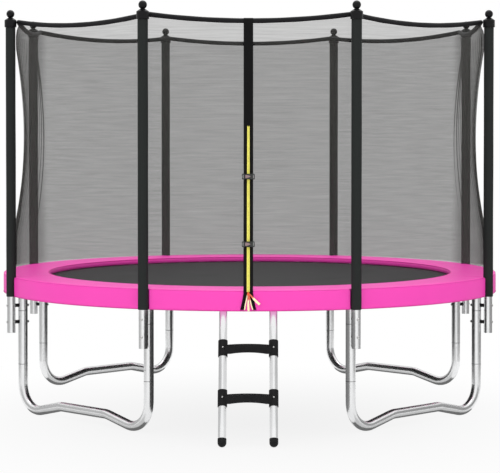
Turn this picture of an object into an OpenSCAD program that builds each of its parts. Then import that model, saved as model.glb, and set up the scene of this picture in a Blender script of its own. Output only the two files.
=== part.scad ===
// Round outdoor trampoline with a net enclosure, a zip door and a two-step ladder.
// Millimetres, +Z up, the ladder and the door face -Y. The floor is z = 0.

/* [Steel frame] */
// Number of enclosure poles, two on each bent leg
posts = 8; // [6:2:12]
// Radius of the ring's centreline, and of the leg sockets
ring_r = 1497; // [1300:1:1800]
// Height of the ring's centreline
ring_z = 774; // [700:1:900]
// Outer diameter of the ring and leg tubes
tube_d = 57; // [48:0.5:60]
// Wall of every steel tube
tube_wall = 1.5; // [1.2:0.1:2]
// Clearance round a tube end that is pushed into another
slip_gap = 0.15; // [0.1:0.05:0.25]
// Gap left at a butt joint between two tubes
butt_gap = 0.3; // [0.2:0.1:0.5]

/* [Tee sockets] */
// Length of the tee's sleeve along the ring
tee_len = 115; // [90:1:125]
// Wall of the tee's sleeve
tee_wall = 1.85; // [1.5:0.05:2]
// Height of the tee's lower end
socket_z = 625; // [600:1:650]
// Length of the reduced tube end in each joint
swage_len = 78; // [72:1:85]

/* [Bent legs] */
// Height of the joint between bent leg and leg extension
leg_joint_z = 299; // [270:1:330]
// Bend radius of the leg tube, on its centreline
leg_bend_r = 147; // [120:1:160]
// Height of the raised middle stretch's centreline
leg_mid_z = 73; // [60:1:90]
// Slope of the run between the low foot and the raised middle
leg_slope = 12.4; // [10:0.1:16]
// Height of the locking screw above the joint
leg_screw_rise = 64; // [55:1:68]

/* [Enclosure poles] */
// Outer diameter of a pole
pole_d = 50; // [42:0.5:50]
// Gap between leg tube and pole, filled by the spacers
pole_gap = 19.5; // [15:0.5:25]
// Height of a pole's lower end
pole_foot_z = 492; // [450:1:520]
// Height of a pole's upper end
pole_top_z = 2394; // [2250:1:2450]
// Height of the foam sleeve's lower end
foam_foot_z = 712; // [705:1:718]
// Outer diameter of the foam sleeve
foam_d = 60; // [56:0.5:64]
// Clearance of the foam round its pole
foam_gap = 0.3; // [0.2:0.1:0.5]
// Height of the upper and lower pole bolts
bolt_zs = [657, 557];
// Thread diameter of the pole bolts
bolt_d = 8; // [6:1:10]
// Diameter of a bolt's domed head
bolt_head_d = 18; // [14:1:20]
// Clearance of a bolt in its holes, on the radius
bolt_gap = 0.3; // [0.2:0.1:0.5]
// Diameter of a pole spacer
spacer_d = 34; // [28:1:38]

/* [Pole caps] */
// Outer diameter of the cap's collar
cap_d = 72; // [68:1:76]
// Height of the collar's straight side
cap_side_h = 43; // [38:1:46]
// Height of the collar's conical shoulder
cap_cone_h = 16; // [12:1:20]
// Diameter of the ball
ball_d = 49; // [40:1:54]
// Diameter of the neck below the ball
neck_d = 24; // [18:1:28]

/* [Safety pad] */
// Inner radius of the pad
pad_in_r = 1276; // [1100:1:1285]
// How far the pad's edge stays inside the poles' circle
pad_setback = 8; // [4:1:12]
// Height of the pad's top
pad_top_z = 833; // [829:1:840]
// Clearance between the ring's tee sleeves and the pad
pad_seat_gap = 3; // [2:0.5:5]
// Height of the skirt's lower edge
skirt_z = 720; // [719:1:735]
// Thickness of the skirt
skirt_t = 28; // [20:1:30]
// Radius of the pad's rounded edges
pad_round = 6; // [3:1:8]
// Clearance of the pad's notches round the foam sleeves
notch_gap = 3; // [1:0.5:5]

/* [Mat and springs] */
// Radius of the jumping mat inside its hem
mat_r = 1270; // [1100:1:1275]
// Height of the mat's top
mat_z = 794; // [790:1:796]
// Thickness of the mat
mat_t = 2; // [1:0.5:3]
// Width of the sewn hem
hem_w = 30; // [24:1:34]
// Thickness of the sewn hem
hem_t = 4; // [3:0.5:5]
// Springs between two poles
springs_per_bay = 8; // [6:1:9]
// Outer diameter of a spring
spring_d = 22; // [18:1:24]
// Diameter of the spring wire and of its hooks
wire_d = 4; // [3:0.5:4]
// Thickness of a V-ring's bar
vring_bar = 4; // [3:0.5:4]
// Length of a V-ring from base to tip
vring_len = 34; // [30:1:38]
// Width of a V-ring's base
vring_w = 36; // [30:1:40]
// Clearance between hem and V-ring
vring_gap = 0.3; // [0.2:0.1:0.5]

/* [Enclosure net] */
// Thickness of the net
net_t = 2; // [1:0.5:3]
// Radius of the net's corners at its waist
waist_r = 1491; // [1470:1:1500]
// Height of the waist as a share of the net's height
waist_at = 0.54; // [0.4:0.02:0.6]
// Radius of the net's edge where it lies on the pad, between the poles
net_foot_r = 1551; // [1546:1:1555]
// Radius of the net's edge where it lies on the pad, behind a pole
net_foot_corner_r = 1530; // [1520:1:1533]
// Diameter of the tubular top belt
belt_d = 30; // [24:1:32]
// Height of the belt at the poles
belt_z = 2378; // [2370:1:2390]
// How far the belt sags between two poles
belt_sag = 38; // [20:1:60]
// Clearance of soft pieces from what carries them
soft_gap = 0.4; // [0.3:0.1:0.6]

/* [Door] */
// Turn of the door and the ladder round the ring's axis, in degrees
front_turn = 0.3; // [0:0.1:0.5]
// Width of the door's webbing
door_w = 54; // [48:1:60]
// Thickness of the door's webbing
door_t = 2.5; // [2:0.5:3]
// Height at which the webbing bends from its lean into the upper stretch
door_knee_z = 1790; // [1760:1:1850]
// Radius of the webbing's back face at that bend
door_knee_r = 1397; // [1396:1:1400]
// Height at which the webbing meets the pad's edge
door_foot_z = 820; // [812:1:822]
// Height of the lower ends of the two split tapes
tape_end_z = 720; // [718:1:730]
// Width of each split tape
tape_w = 20; // [16:1:22]
// Width over the split tapes at their ends
tapes_w = 90; // [80:1:100]
// Width of the zip's coloured chain
zip_w = 16; // [14:1:22]
// Thickness of the zip's chain
zip_t = 1.5; // [1:0.1:2]
// Length of the zip
zip_len = 940; // [900:1:960]
// Length of the zip slider
slider_len = 24; // [20:1:28]
// How far the slider reaches over the zip's foot when the door is closed
slider_lap = 3; // [2:0.5:4]
// Width of the zip slider
slider_w = 16; // [12:1:18]
// Height of the zip slider over the chain
slider_h = 6; // [4:0.5:7]
// Distances of the two buckles above the zip's foot
buckle_rises = [267, 649];

/* [Buckles] */
// Overall width of a closed buckle
buckle_w = 72; // [66:1:76]
// Height of a buckle
buckle_h = 31; // [28:1:34]
// Thickness of a buckle
buckle_t = 9; // [8:0.5:11]
// Wall of the buckle's housing
buckle_wall = 2; // [1.6:0.1:2.2]
// Clearance of the prongs in the housing
prong_gap = 0.4; // [0.3:0.1:0.5]
// Length of the prongs
prong_len = 20; // [16:1:22]

/* [Ladder] */
// Distance between the rails' centrelines
ladder_w = 282; // [250:1:320]
// Outer diameter of a rail
rail_d = 45; // [38:0.5:48]
// Lean of the ladder from the vertical
ladder_lean = 29.5; // [26:0.5:31]
// Width of a hook strip
hook_w = 20; // [16:1:22]
// Thickness of a hook strip
hook_t = 4; // [3:0.5:4]
// Inner radius of a hook over half the ring tube's diameter
hook_play = 2; // [1.8:0.1:2.2]
// Clearance left between the top of the ring and a hook
hook_gap = 0.7; // [0.6:0.1:0.9]
// Height of the two steps
step_zs = [247, 505];
// Depth of a step's tread
step_depth = 62; // [50:1:70]
// Height of a step at its ends
step_h = 50; // [44:1:54]
// Rise of the arch under a step
step_arch = 8; // [4:1:12]
// Outer diameter of the sleeves that hold a step
step_sleeve_d = 53; // [51:0.5:58]
// Length of those sleeves along the rail
step_sleeve_len = 95; // [80:1:100]
// Height of a foot cap's straight side along the rail
foot_side = 22; // [16:1:28]
// Wall of a foot cap
foot_wall = 2; // [1.5:0.1:3]
// Diameter of a step's locking screw
step_screw_d = 5; // [4:0.5:6]

/* [Hidden] */
$fn = 96;
tiny = 0.01;
tube_r = tube_d / 2;
pole_or = pole_d / 2;
bay = 360 / posts;
half_bay = bay / 2;
springs_total = posts * springs_per_bay;
pole_r = ring_r + tube_r + pole_gap + pole_or;

// tubes and their reduced ends
bore_r = tube_r - tube_wall;
swage_r = bore_r - slip_gap;
swage_bore_r = swage_r - tube_wall;
neck_len = 8;
tee_bore_r = tube_r + slip_gap;
tee_r = tee_bore_r + tee_wall;
tee_half_angle = tee_len / ring_r * 90 / PI;
rail_end_angle = butt_gap / ring_r * 180 / PI;

// bent leg: feet, slopes and the raised middle
leg_plane_r = ring_r * cos(half_bay);
leg_half = ring_r * sin(half_bay);
leg_raise = leg_mid_z - tube_r;
leg_run = (leg_raise - 2 * leg_bend_r * (1 - cos(leg_slope))) / sin(leg_slope);
leg_foot_end = [leg_half - leg_bend_r * (1 + sin(leg_slope)), tube_r + leg_bend_r * (1 - cos(leg_slope))];
leg_rise_end = leg_foot_end + leg_run * [-cos(leg_slope), sin(leg_slope)];
leg_mid_half = leg_rise_end[0] - leg_bend_r * sin(leg_slope);
leg_weld = 1;
bend_thinning = 0.05;
leg_screw_z = leg_joint_z + leg_screw_rise;
leg_screw_r = 2.5;
leg_screw_head_r = 4.5;
leg_screw_head_h = 2.6;

// bolts through pole, spacer and leg
bolt_r = bolt_d / 2;
bolt_hole_r = bolt_r + bolt_gap;
bolt_head_h = 5;
nut_h = 6.5;
nut_across = 13;
bolt_seat = 0.2;
bolt_end_r = ring_r - tube_r - bolt_seat - nut_h - 3;
bolt_head_r0 = pole_r + pole_or + bolt_seat;

// pole caps
cap_r = cap_d / 2;
cap_seat = 0.3;
cap_z = pole_top_z + cap_seat + 3 - cap_side_h - (cap_r - pole_or) / (cap_r - neck_d / 2) * cap_cone_h;
cap_shoulder_z = cap_z + cap_side_h;
cap_neck_z = cap_shoulder_z + cap_cone_h;
ball_r = ball_d / 2;
ball_z = cap_neck_z + sqrt(ball_r * ball_r - neck_d * neck_d / 4);
foam_top_z = cap_z - cap_seat;

// pad
pad_out_r = pole_r - pad_setback;
pad_under_z = ring_z + tee_r + pad_seat_gap;
pad_lip_z = mat_z + soft_gap;
pad_lip_r = mat_r + hem_w + 3;

// mat, V-rings and springs
mat_out_r = mat_r + hem_w;
vring_z = mat_z - hem_t - vring_gap - vring_bar / 2;
vring_in_r = mat_out_r - vring_len / 2;
vring_tip_r = vring_in_r + vring_len;
vring_tip_w = 14;
hook_mean_r = wire_d / 2 + vring_bar / 2 * sqrt(2) + 0.7;
hook_mid_r = vring_tip_r - vring_bar / 2;
spring_z = vring_z + hook_mean_r;
spring_cone = 6;
spring_rod = 16;
spring_wall_depth = sqrt(bore_r * bore_r - pow(spring_z - ring_z + wire_d / 2, 2));
spring_bend_r = ring_r - spring_wall_depth + 3;
spring_slot_r = wire_d / 2 + 0.3;
hook_flat = wire_d * 0.8;
spring_end_r = ring_r - tube_r - 10;

// net and belt
belt_r = belt_d / 2;
belt_ring_r = pole_r - cap_r - soft_gap - belt_r;
net_foot_z = pad_top_z + soft_gap;
net_top_z = belt_z - belt_r - soft_gap;
net_top_mid_z = net_top_z - belt_sag;
net_top_mid_r = belt_ring_r * cos(half_bay);
net_knee_at = (door_knee_z - net_foot_z) / (net_top_mid_z - net_foot_z);
net_knee_r = door_knee_r - soft_gap;
belt_rings = 8;
net_cols = belt_rings;
net_rows_low = 4;
net_rows_high = 3;
belt_sides = 8;

// door: the webbing's back face runs from the pad's edge to the knee and on to the belt
door_foot_r = pad_out_r + 1.7;
door_lean = atan((door_foot_r - door_knee_r) / (door_knee_z - door_foot_z));
door_top_z = belt_z - belt_sag + belt_r;
door_top_r = net_top_mid_r + belt_r + soft_gap;
door_front = door_t * cos(door_lean);
zip_front = door_front + zip_t;
split_drop = 8;
split_z = door_foot_z - split_drop;
tape_lap = 2;
slider_gap = 0.3;
slider_front = zip_front + slider_gap + slider_h;
slider_wall = 1.6;
eye_len = 6;
ribbon_t = 1;
ribbon_gap = 0.5;
ribbon_top_w = 6;
// ends of the ribbons beside the zip's line and over the tapes' ends, and their widths
ribbon_ends = [[-20, 2, 8], [1, 0, 13], [25, 4, 7], [66, 30, 18]];

// buckles stand on the webbing and bridge the zip
buckle_back = slider_front + 0.6;
buckle_front = buckle_back + buckle_t;
buckle_foot_w = 8;
buckle_bar = 5;
buckle_round = 5;
buckle_split = 2;
buckle_slot = 4;
buckle_rim = 9;
end_notch_r = 3;
prong_room = 3;
prong_w = 4.5;
tongue_len = 17;
tongue_w = 9;

// ladder: lies against the ring's inner side and hangs on it by its hooks
rail_r = rail_d / 2;
ladder_x = ladder_w / 2;
hook_axis_r = sqrt(ring_r * ring_r - ladder_x * ladder_x);
hook_in_r = tube_r + hook_play;
hook_low = hook_play - hook_gap;
hook_z = ring_z - hook_low;
hook_weld = 1;
hook_out_r = hook_in_r + hook_t;
rail_off = hook_out_r + rail_r - hook_weld;
rail_near = [hook_axis_r - rail_off * cos(ladder_lean), hook_z - rail_off * sin(ladder_lean)];
rail_over = 16;
foot_r = rail_r + foot_wall;
foot_centre_s = (rail_near[1] - foot_r) / cos(ladder_lean);
foot_centre = rail_near + foot_centre_s * [sin(ladder_lean), -cos(ladder_lean)];
rail_foot_gap = 0.3;
ladder_reach = foot_centre[0] + foot_r;
step_slip = 0.3;
rib_h = 2;
rib_w = 5;
ribs = 6;
step_crown = 6;

// the middle of the footprint is the origin, so the ring's axis lies behind it
axis_y = (ladder_reach - pad_out_r) / 2;

function post_angle(k) = -90 + half_bay + (k - 1) * bay;
function leg_angle(m) = post_angle(2 * m - 1) + half_bay;
function spring_angle(i) = -90 + (i + 0.5) * 360 / springs_total;
function arc_points(centre, r, from, to, steps) =
    [for (i = [0:steps]) centre + r * [cos(from + (to - from) * i / steps), sin(from + (to - from) * i / steps)]];

// ---- placing ----

// Moves a piece from the ring's axis to the part's origin
module on_axis() {
    translate([0, axis_y, 0]) children();
}

// Local +X points outwards at pole k
module at_post(k) {
    on_axis() rotate([0, 0, post_angle(k)]) children();
}

// Local +X points outwards at the door and the ladder, local +Y along the part's +X
module at_front() {
    on_axis() rotate([0, 0, -90 - front_turn]) children();
}

// Local +Z runs up the leaning zip from its foot, local +X points out of the webbing
module on_zip() {
    at_front() translate([door_foot_r, 0, door_foot_z]) rotate([0, -door_lean, 0]) children();
}

// Local +Z runs up a rail, with its origin where the rail passes nearest to the ring
module on_rail(side) {
    at_front() translate([rail_near[0], side * ladder_x, rail_near[1]]) rotate([0, -ladder_lean, 0]) children();
}

// Turns a drawing in XY into the YZ plane
module upright() {
    rotate([90, 0, 90]) children();
}

// A round bar along local +X from x0 to x1
module bar_x(r, x0, x1) {
    translate([x0, 0, 0]) rotate([0, 90, 0]) cylinder(r = r, h = x1 - x0);
}

// ---- steel frame ----

module wall_section(outer_r, wall) {
    difference() {
        circle(r = outer_r);
        circle(r = outer_r - wall);
    }
}

module tube_section() {
    wall_section(tube_r, tube_wall);
}

// Upright tube from z0 to z1 whose upper end is reduced to fit in the next tube
module swaged_tube(z0, z1) {
    rotate_extrude() polygon([
        [bore_r, z0],
        [tube_r, z0],
        [tube_r, z1],
        [swage_r, z1],
        [swage_r, z1 + swage_len],
        [swage_bore_r, z1 + swage_len],
        [swage_bore_r, z1 - neck_len / 2],
        [bore_r, z1 - neck_len]
    ]);
}

module bolt_holes(r0, r1) {
    for (z = bolt_zs) translate([0, 0, z]) bar_x(bolt_hole_r, r0, r1);
}

module top_rail(k) {
    color("silver") on_axis() difference() {
        translate([0, 0, ring_z]) rotate([0, 0, post_angle(k) + rail_end_angle])
            rotate_extrude(angle = bay - 2 * rail_end_angle) translate([ring_r, 0]) tube_section();
        for (i = [0:springs_per_bay - 1])
            rotate([0, 0, post_angle(k) + (i + 0.5) * bay / springs_per_bay])
                translate([0, 0, spring_z]) bar_x(spring_slot_r, ring_r - tube_r - 5, spring_bend_r);
    }
}

module tee_arc(r, half_angle) {
    translate([0, 0, ring_z]) rotate([0, 0, -half_angle])
        rotate_extrude(angle = 2 * half_angle) translate([ring_r, 0]) circle(r = r);
}

module tee_socket(k) {
    color("silver") at_post(k) difference() {
        union() {
            tee_arc(tee_r, tee_half_angle);
            translate([ring_r, 0, socket_z]) cylinder(r = tube_r, h = ring_z - socket_z);
        }
        tee_arc(tee_bore_r, tee_half_angle + 1);
        translate([ring_r, 0, socket_z - 1]) cylinder(r = bore_r, h = ring_z - socket_z);
        bolt_holes(ring_r - tube_d, ring_r + tube_d);
    }
}

// Turns towards the bent leg's outward normal
module at_leg_screw(k) {
    translate([ring_r, 0, leg_screw_z]) rotate([0, 0, k % 2 == 1 ? half_bay : -half_bay]) children();
}

module leg_extension(k) {
    color("silver") at_post(k) difference() {
        translate([ring_r, 0, 0]) swaged_tube(leg_joint_z, socket_z - butt_gap);
        bolt_holes(ring_r - tube_d, ring_r + tube_d);
        at_leg_screw(k) bar_x(leg_screw_r + bolt_gap, 0, tube_d);
    }
}

// Straight tube along +Y from y0 to y1, whose ends run a little way into the bends
module leg_straight(length) {
    translate([0, -leg_weld, 0]) rotate([-90, 0, 0]) linear_extrude(length + 2 * leg_weld) tube_section();
}

// A bend's wall is a hair thinner than the straights', as it is where a tube is drawn round a die
module leg_bend(angle) {
    rotate_extrude(angle = angle) translate([leg_bend_r, 0])
        wall_section(tube_r - bend_thinning, tube_wall - 2 * bend_thinning);
}

// Half of a bent leg, drawn with +X along its chord and +Y up
module bent_leg_half() {
    translate([leg_half - leg_bend_r, tube_r + leg_bend_r, 0]) rotate([0, 0, -90 - leg_slope])
        leg_bend(90 + leg_slope);
    translate([leg_foot_end[0], leg_foot_end[1], 0]) rotate([0, 0, 90 - leg_slope]) leg_straight(leg_run);
    translate([leg_mid_half, leg_mid_z - leg_bend_r, 0]) rotate([0, 0, 90 - leg_slope]) leg_bend(leg_slope);
}

module bent_leg(m) {
    color("silver") on_axis() rotate([0, 0, leg_angle(m)]) translate([leg_plane_r, 0, 0]) difference() {
        union() {
            upright() {
                bent_leg_half();
                mirror([1, 0, 0]) bent_leg_half();
                translate([leg_mid_half, leg_mid_z, 0]) rotate([0, 0, 90]) leg_straight(2 * leg_mid_half);
            }
            for (side = [-1, 1]) translate([0, side * leg_half, 0])
                swaged_tube(tube_r + leg_bend_r - leg_weld, leg_joint_z - butt_gap);
        }
        for (side = [-1, 1]) translate([0, side * leg_half, leg_screw_z])
            bar_x(leg_screw_r + bolt_gap, 0, tube_d);
    }
}

module leg_screws() {
    color("dimgray") for (k = [1:posts]) at_post(k) at_leg_screw(k) rotate([0, 90, 0]) rotate_extrude()
        polygon([
            [0, swage_bore_r - 4],
            [leg_screw_r, swage_bore_r - 2],
            [leg_screw_r, tube_r + bolt_seat],
            [leg_screw_head_r, tube_r + bolt_seat],
            [leg_screw_head_r, tube_r + bolt_seat + leg_screw_head_h * 0.4],
            [leg_screw_head_r * 0.6, tube_r + bolt_seat + leg_screw_head_h],
            [0, tube_r + bolt_seat + leg_screw_head_h]
        ]);
}

// ---- enclosure poles ----

module pole(k) {
    color("silver") at_post(k) difference() {
        translate([pole_r, 0, pole_foot_z]) linear_extrude(pole_top_z - pole_foot_z)
            wall_section(pole_or, tube_wall);
        bolt_holes(pole_r - pole_d, pole_r + pole_d);
    }
}

module foam_sleeves() {
    color("#2b2b2b") for (k = [1:posts]) at_post(k) translate([pole_r, 0, foam_foot_z])
        linear_extrude(foam_top_z - foam_foot_z)
            wall_section(foam_d / 2, foam_d / 2 - pole_or - foam_gap);
}

module pole_caps() {
    color("#181818") for (k = [1:posts]) at_post(k) translate([pole_r, 0, 0]) {
        union() {
            rotate_extrude() polygon([
                [pole_or + slip_gap, cap_z],
                [cap_r - 1.5, cap_z],
                [cap_r, cap_z + 1.5],
                [cap_r, cap_shoulder_z],
                [neck_d / 2, cap_neck_z],
                [neck_d / 2, ball_z],
                [0, ball_z],
                [0, pole_top_z + cap_seat],
                [pole_or + slip_gap, pole_top_z + cap_seat]
            ]);
            translate([0, 0, ball_z]) sphere(r = ball_r);
        }
    }
}

module pole_bolts() {
    color("gray") for (k = [1:posts], z = bolt_zs) at_post(k) translate([0, 0, z]) rotate([0, 90, 0])
        rotate_extrude() polygon(concat(
            [[0, bolt_end_r], [bolt_r - 0.8, bolt_end_r], [bolt_r, bolt_end_r + 0.8], [bolt_r, bolt_head_r0]],
            [for (a = [0:15:75]) [bolt_head_d / 2 * cos(a), bolt_head_r0 + bolt_head_h * sin(a)]],
            [[0, bolt_head_r0 + bolt_head_h]]
        ));
}

module pole_nuts() {
    color("gray") for (k = [1:posts], z = bolt_zs) at_post(k)
        translate([ring_r - tube_r - bolt_seat - nut_h, 0, z]) rotate([0, 90, 0]) difference() {
            cylinder(d = nut_across / cos(30), h = nut_h, $fn = 6);
            translate([0, 0, -1]) cylinder(r = bolt_r + slip_gap, h = nut_h + 2);
        }
}

module pole_spacers() {
    saddle = 0.15;
    color("#181818") for (k = [1:posts], z = bolt_zs) at_post(k) difference() {
        translate([0, 0, z]) bar_x(spacer_d / 2, ring_r + tube_r / 2, pole_r - pole_or / 2);
        translate([ring_r, 0, z - spacer_d]) cylinder(r = tube_r + saddle, h = 2 * spacer_d);
        translate([pole_r, 0, z - spacer_d]) cylinder(r = pole_or + saddle, h = 2 * spacer_d);
        translate([0, 0, z]) bar_x(bolt_hole_r, ring_r, pole_r);
    }
}

// ---- jumping surface ----

module pad_section() {
    lip_round = pad_round / 2;
    polygon(concat(
        arc_points([pad_in_r + pad_round, pad_top_z - pad_round], pad_round, 180, 90, 4),
        arc_points([pad_out_r - pad_round, pad_top_z - pad_round], pad_round, 90, 0, 4),
        [[pad_out_r, pad_under_z], [pad_lip_r, pad_under_z], [pad_lip_r, pad_lip_z]],
        arc_points([pad_in_r + lip_round, pad_lip_z + lip_round], lip_round, -90, -180, 3)
    ));
}

// The skirt that hangs from the pad's outer edge
module skirt_section() {
    seam_z = pad_under_z - soft_gap;
    polygon(concat(
        [[pad_out_r - skirt_t, seam_z], [pad_out_r, seam_z]],
        arc_points([pad_out_r - pad_round, skirt_z + pad_round], pad_round, 0, -90, 4),
        arc_points([pad_out_r - skirt_t + pad_round, skirt_z + pad_round], pad_round, -90, -180, 4)
    ));
}

module safety_pad() {
    color("#f54bb4") on_axis() difference() {
        union() {
            rotate_extrude() pad_section();
            rotate_extrude() skirt_section();
        }
        for (k = [1:posts]) rotate([0, 0, post_angle(k)]) translate([pole_r, 0, skirt_z - 1])
            cylinder(r = foam_d / 2 + notch_gap, h = pad_top_z - skirt_z + 2);
    }
}

module jumping_mat() {
    color("#4a4b47") on_axis() translate([0, 0, mat_z - mat_t]) cylinder(r = mat_r, h = mat_t, $fn = 180);
}

module mat_hem() {
    color("#202020") on_axis() translate([0, 0, mat_z - hem_t]) linear_extrude(hem_t) difference() {
        circle(r = mat_out_r);
        circle(r = mat_r + slip_gap);
    }
}

module vring_outline(inset) {
    polygon([
        [vring_in_r + inset, -vring_w / 2 + inset * 1.4],
        [vring_tip_r - inset, -vring_tip_w / 2 + inset * 0.7],
        [vring_tip_r - inset, vring_tip_w / 2 - inset * 0.7],
        [vring_in_r + inset, vring_w / 2 - inset * 1.4]
    ]);
}

module mat_v_rings() {
    color("silver") on_axis() for (i = [0:springs_total - 1]) rotate([0, 0, spring_angle(i)])
        translate([0, 0, vring_z - vring_bar / 2]) linear_extrude(vring_bar) difference() {
            vring_outline(0);
            vring_outline(vring_bar);
        }
}

// Flat hook of a spring: an arc about the V-ring's bar, drawn with +X outwards and +Y up
module spring_hook(start, end, steps) {
    wire_r = wire_d * 0.42;
    polygon(concat(
        arc_points([0, 0], hook_mean_r + wire_r, start, end, steps),
        arc_points([0, 0], hook_mean_r - wire_r, end, start, steps)
    ));
}

// One spring along local +X: hook round the V-ring, barrel, and a bent end inside the ring
module spring() {
    wire_r = wire_d / 2;
    barrel_r = spring_d / 2;
    barrel_start = hook_mid_r + spring_rod;
    rotate([0, 90, 0]) rotate_extrude() polygon([
        [0, hook_mid_r - 1],
        [wire_r, hook_mid_r - 1],
        [wire_r, barrel_start - spring_cone],
        [barrel_r, barrel_start],
        [barrel_r, spring_end_r - spring_cone],
        [wire_r, spring_end_r],
        [wire_r, spring_bend_r + 1],
        [0, spring_bend_r + 1]
    ]);
    translate([hook_mid_r, 0, -hook_mean_r]) rotate([90, 0, 0])
        linear_extrude(hook_flat, center = true) spring_hook(90, 320, 6);
    translate([spring_bend_r, 0, -hook_mean_r]) rotate([90, 0, 0])
        linear_extrude(hook_flat, center = true) spring_hook(90, 0, 2);
}

module springs() {
    color("darkgray") on_axis() for (i = [0:springs_total - 1]) rotate([0, 0, spring_angle(i)])
        translate([0, 0, spring_z]) union() spring();
}

// ---- enclosure net ----

// Radius of the net's corner at share s of its height
function corner_r(s) =
    let (high = s > waist_at)
    let (edge_r = high ? belt_ring_r : net_foot_corner_r)
    let (u = (s - waist_at) / (high ? 1 - waist_at : waist_at))
    waist_r + (edge_r - waist_r) * u * u;

// Radius of the net's middle at share s of its height
function middle_r(s) = s < net_knee_at
    ? net_foot_r + (net_knee_r - net_foot_r) * s / net_knee_at
    : net_knee_r + (net_top_mid_r - net_knee_r) * (s - net_knee_at) / (1 - net_knee_at);

// Point of a panel at share s of its height and u from -1 to 1 across it, moved inwards by depth
function net_point(s, u, depth) =
    let (edge_x = corner_r(s) * cos(half_bay))
    let (x = edge_x + (middle_r(s) - edge_x) * (1 - u * u))
    let (top = net_top_z - belt_sag * (1 - u * u))
    [x - depth, corner_r(s) * sin(half_bay) * u, net_foot_z + (top - net_foot_z) * s];

net_shares = concat(
    [for (i = [0:net_rows_low - 1]) net_knee_at * i / net_rows_low],
    [for (i = [0:net_rows_high]) net_knee_at + (1 - net_knee_at) * i / net_rows_high]
);

// A thin closed sheet from two grids of points, each with rows x cols cells
module sheet(front, back, rows, cols) {
    n = (rows + 1) * (cols + 1);
    at = function (r, c) r * (cols + 1) + c;
    function strip(a, b) = [[a[0], a[1], b[1]], [a[0], b[1], b[0]]];
    faces = concat(
        [for (r = [0:rows - 1], c = [0:cols - 1], f = strip([at(r, c), at(r + 1, c)], [at(r, c + 1), at(r + 1, c + 1)])) f],
        [for (r = [0:rows - 1], c = [0:cols - 1], f = strip([n + at(r, c), n + at(r, c + 1)],
            [n + at(r + 1, c), n + at(r + 1, c + 1)])) f],
        [for (r = [0:rows - 1], f = strip([n + at(r, 0), n + at(r + 1, 0)], [at(r, 0), at(r + 1, 0)])) f],
        [for (r = [0:rows - 1], f = strip([at(r, cols), at(r + 1, cols)], [n + at(r, cols), n + at(r + 1, cols)])) f],
        [for (c = [0:cols - 1], f = strip([n + at(0, c), at(0, c)], [n + at(0, c + 1), at(0, c + 1)])) f],
        [for (c = [0:cols - 1], f = strip([at(rows, c), n + at(rows, c)], [at(rows, c + 1), n + at(rows, c + 1)])) f]
    );
    polyhedron(points = concat(front, back), faces = faces);
}

module enclosure_net() {
    rows = len(net_shares) - 1;
    seam = 0.998;
    front = [for (s = net_shares, c = [0:net_cols]) net_point(s, seam * (2 * c / net_cols - 1), 0)];
    back = [for (s = net_shares, c = [0:net_cols]) net_point(s, seam * (2 * c / net_cols - 1), net_t)];
    color("#8a8a88", 0.5) on_axis() for (k = [0:posts - 1]) rotate([0, 0, -90 + k * bay])
        sheet(front, back, rows, net_cols);
}

// Centre of the belt at share u from 0 to 1 of one span
function belt_point(span, u) =
    let (a = post_angle(span), b = post_angle(span + 1))
    let (xy = belt_ring_r * ((1 - u) * [cos(a), sin(a)] + u * [cos(b), sin(b)]))
    [xy[0], xy[1], belt_z - belt_sag * 4 * u * (1 - u)];

module top_belt() {
    path = [for (span = [1:posts], i = [0:belt_rings - 1]) belt_point(span, i / belt_rings)];
    n = len(path);
    rings = [for (p = path, j = [0:belt_sides - 1])
        let (out = [p[0], p[1], 0] / norm([p[0], p[1]]), a = 360 * j / belt_sides)
        p + belt_r * (cos(a) * out + sin(a) * [0, 0, 1])];
    at = function (i, j) (i % n) * belt_sides + j % belt_sides;
    color("#111111") on_axis() polyhedron(points = rings, faces = [
        for (i = [0:n - 1], j = [0:belt_sides - 1], f = [
            [at(i, j), at(i, j + 1), at(i + 1, j + 1)],
            [at(i, j), at(i + 1, j + 1), at(i + 1, j)]
        ]) f
    ]);
}

// ---- door ----

module door_strip() {
    tape_top = door_w / 2;
    tape_end = tapes_w / 2;
    color("#141414") at_front() union() {
        translate([0, door_w / 2, 0]) rotate([90, 0, 0]) linear_extrude(door_w) polygon([
            [door_foot_r, split_z],
            [door_foot_r + door_t, split_z],
            [door_foot_r + door_t, door_foot_z],
            [door_knee_r + door_t, door_knee_z],
            [door_top_r + door_t, door_top_z],
            [door_top_r, door_top_z],
            [door_knee_r, door_knee_z],
            [door_foot_r, door_foot_z]
        ]);
        for (side = [-1, 1]) translate([door_foot_r, 0, 0]) upright() linear_extrude(door_t) polygon([
            [side * tape_top, split_z + tape_lap],
            [side * (tape_top - tape_w), split_z + tape_lap],
            [side * (tape_end - tape_w), tape_end_z],
            [side * tape_end, tape_end_z]
        ]);
    }
}

module zip_chain() {
    color("#f5e85a") on_zip() translate([door_front, -zip_w / 2, 0]) cube([zip_t, zip_w, zip_len]);
}

// Wedge-shaped slider with an eye across it for the ribbons
module zip_slider() {
    half_w = slider_w / 2;
    tip_w = half_w * 0.35;
    shoulder = slider_lap / 2;
    color("#d8502a") on_zip() translate([zip_front + slider_gap, 0, slider_lap]) difference() {
        upright() linear_extrude(slider_h) polygon([
            [-half_w * 0.8, 0],
            [-half_w, -shoulder],
            [-half_w, -2 * shoulder],
            [-tip_w, -slider_len],
            [tip_w, -slider_len],
            [half_w, -2 * shoulder],
            [half_w, -shoulder],
            [half_w * 0.8, 0]
        ]);
        translate([slider_wall, -slider_w, -slider_lap - eye_len]) cube([slider_h - 2 * slider_wall, 2 * slider_w, eye_len]);
    }
}

// One ribbon that hangs from behind the slider's top, from a top width to its end, drawn in XY
module ribbon(end, width) {
    top = door_foot_z - 1;
    half_top = ribbon_top_w / 2;
    polygon([[-half_top, top], [half_top, top], end + [width / 2, 0], end - [width / 2, 0]]);
}

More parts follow.
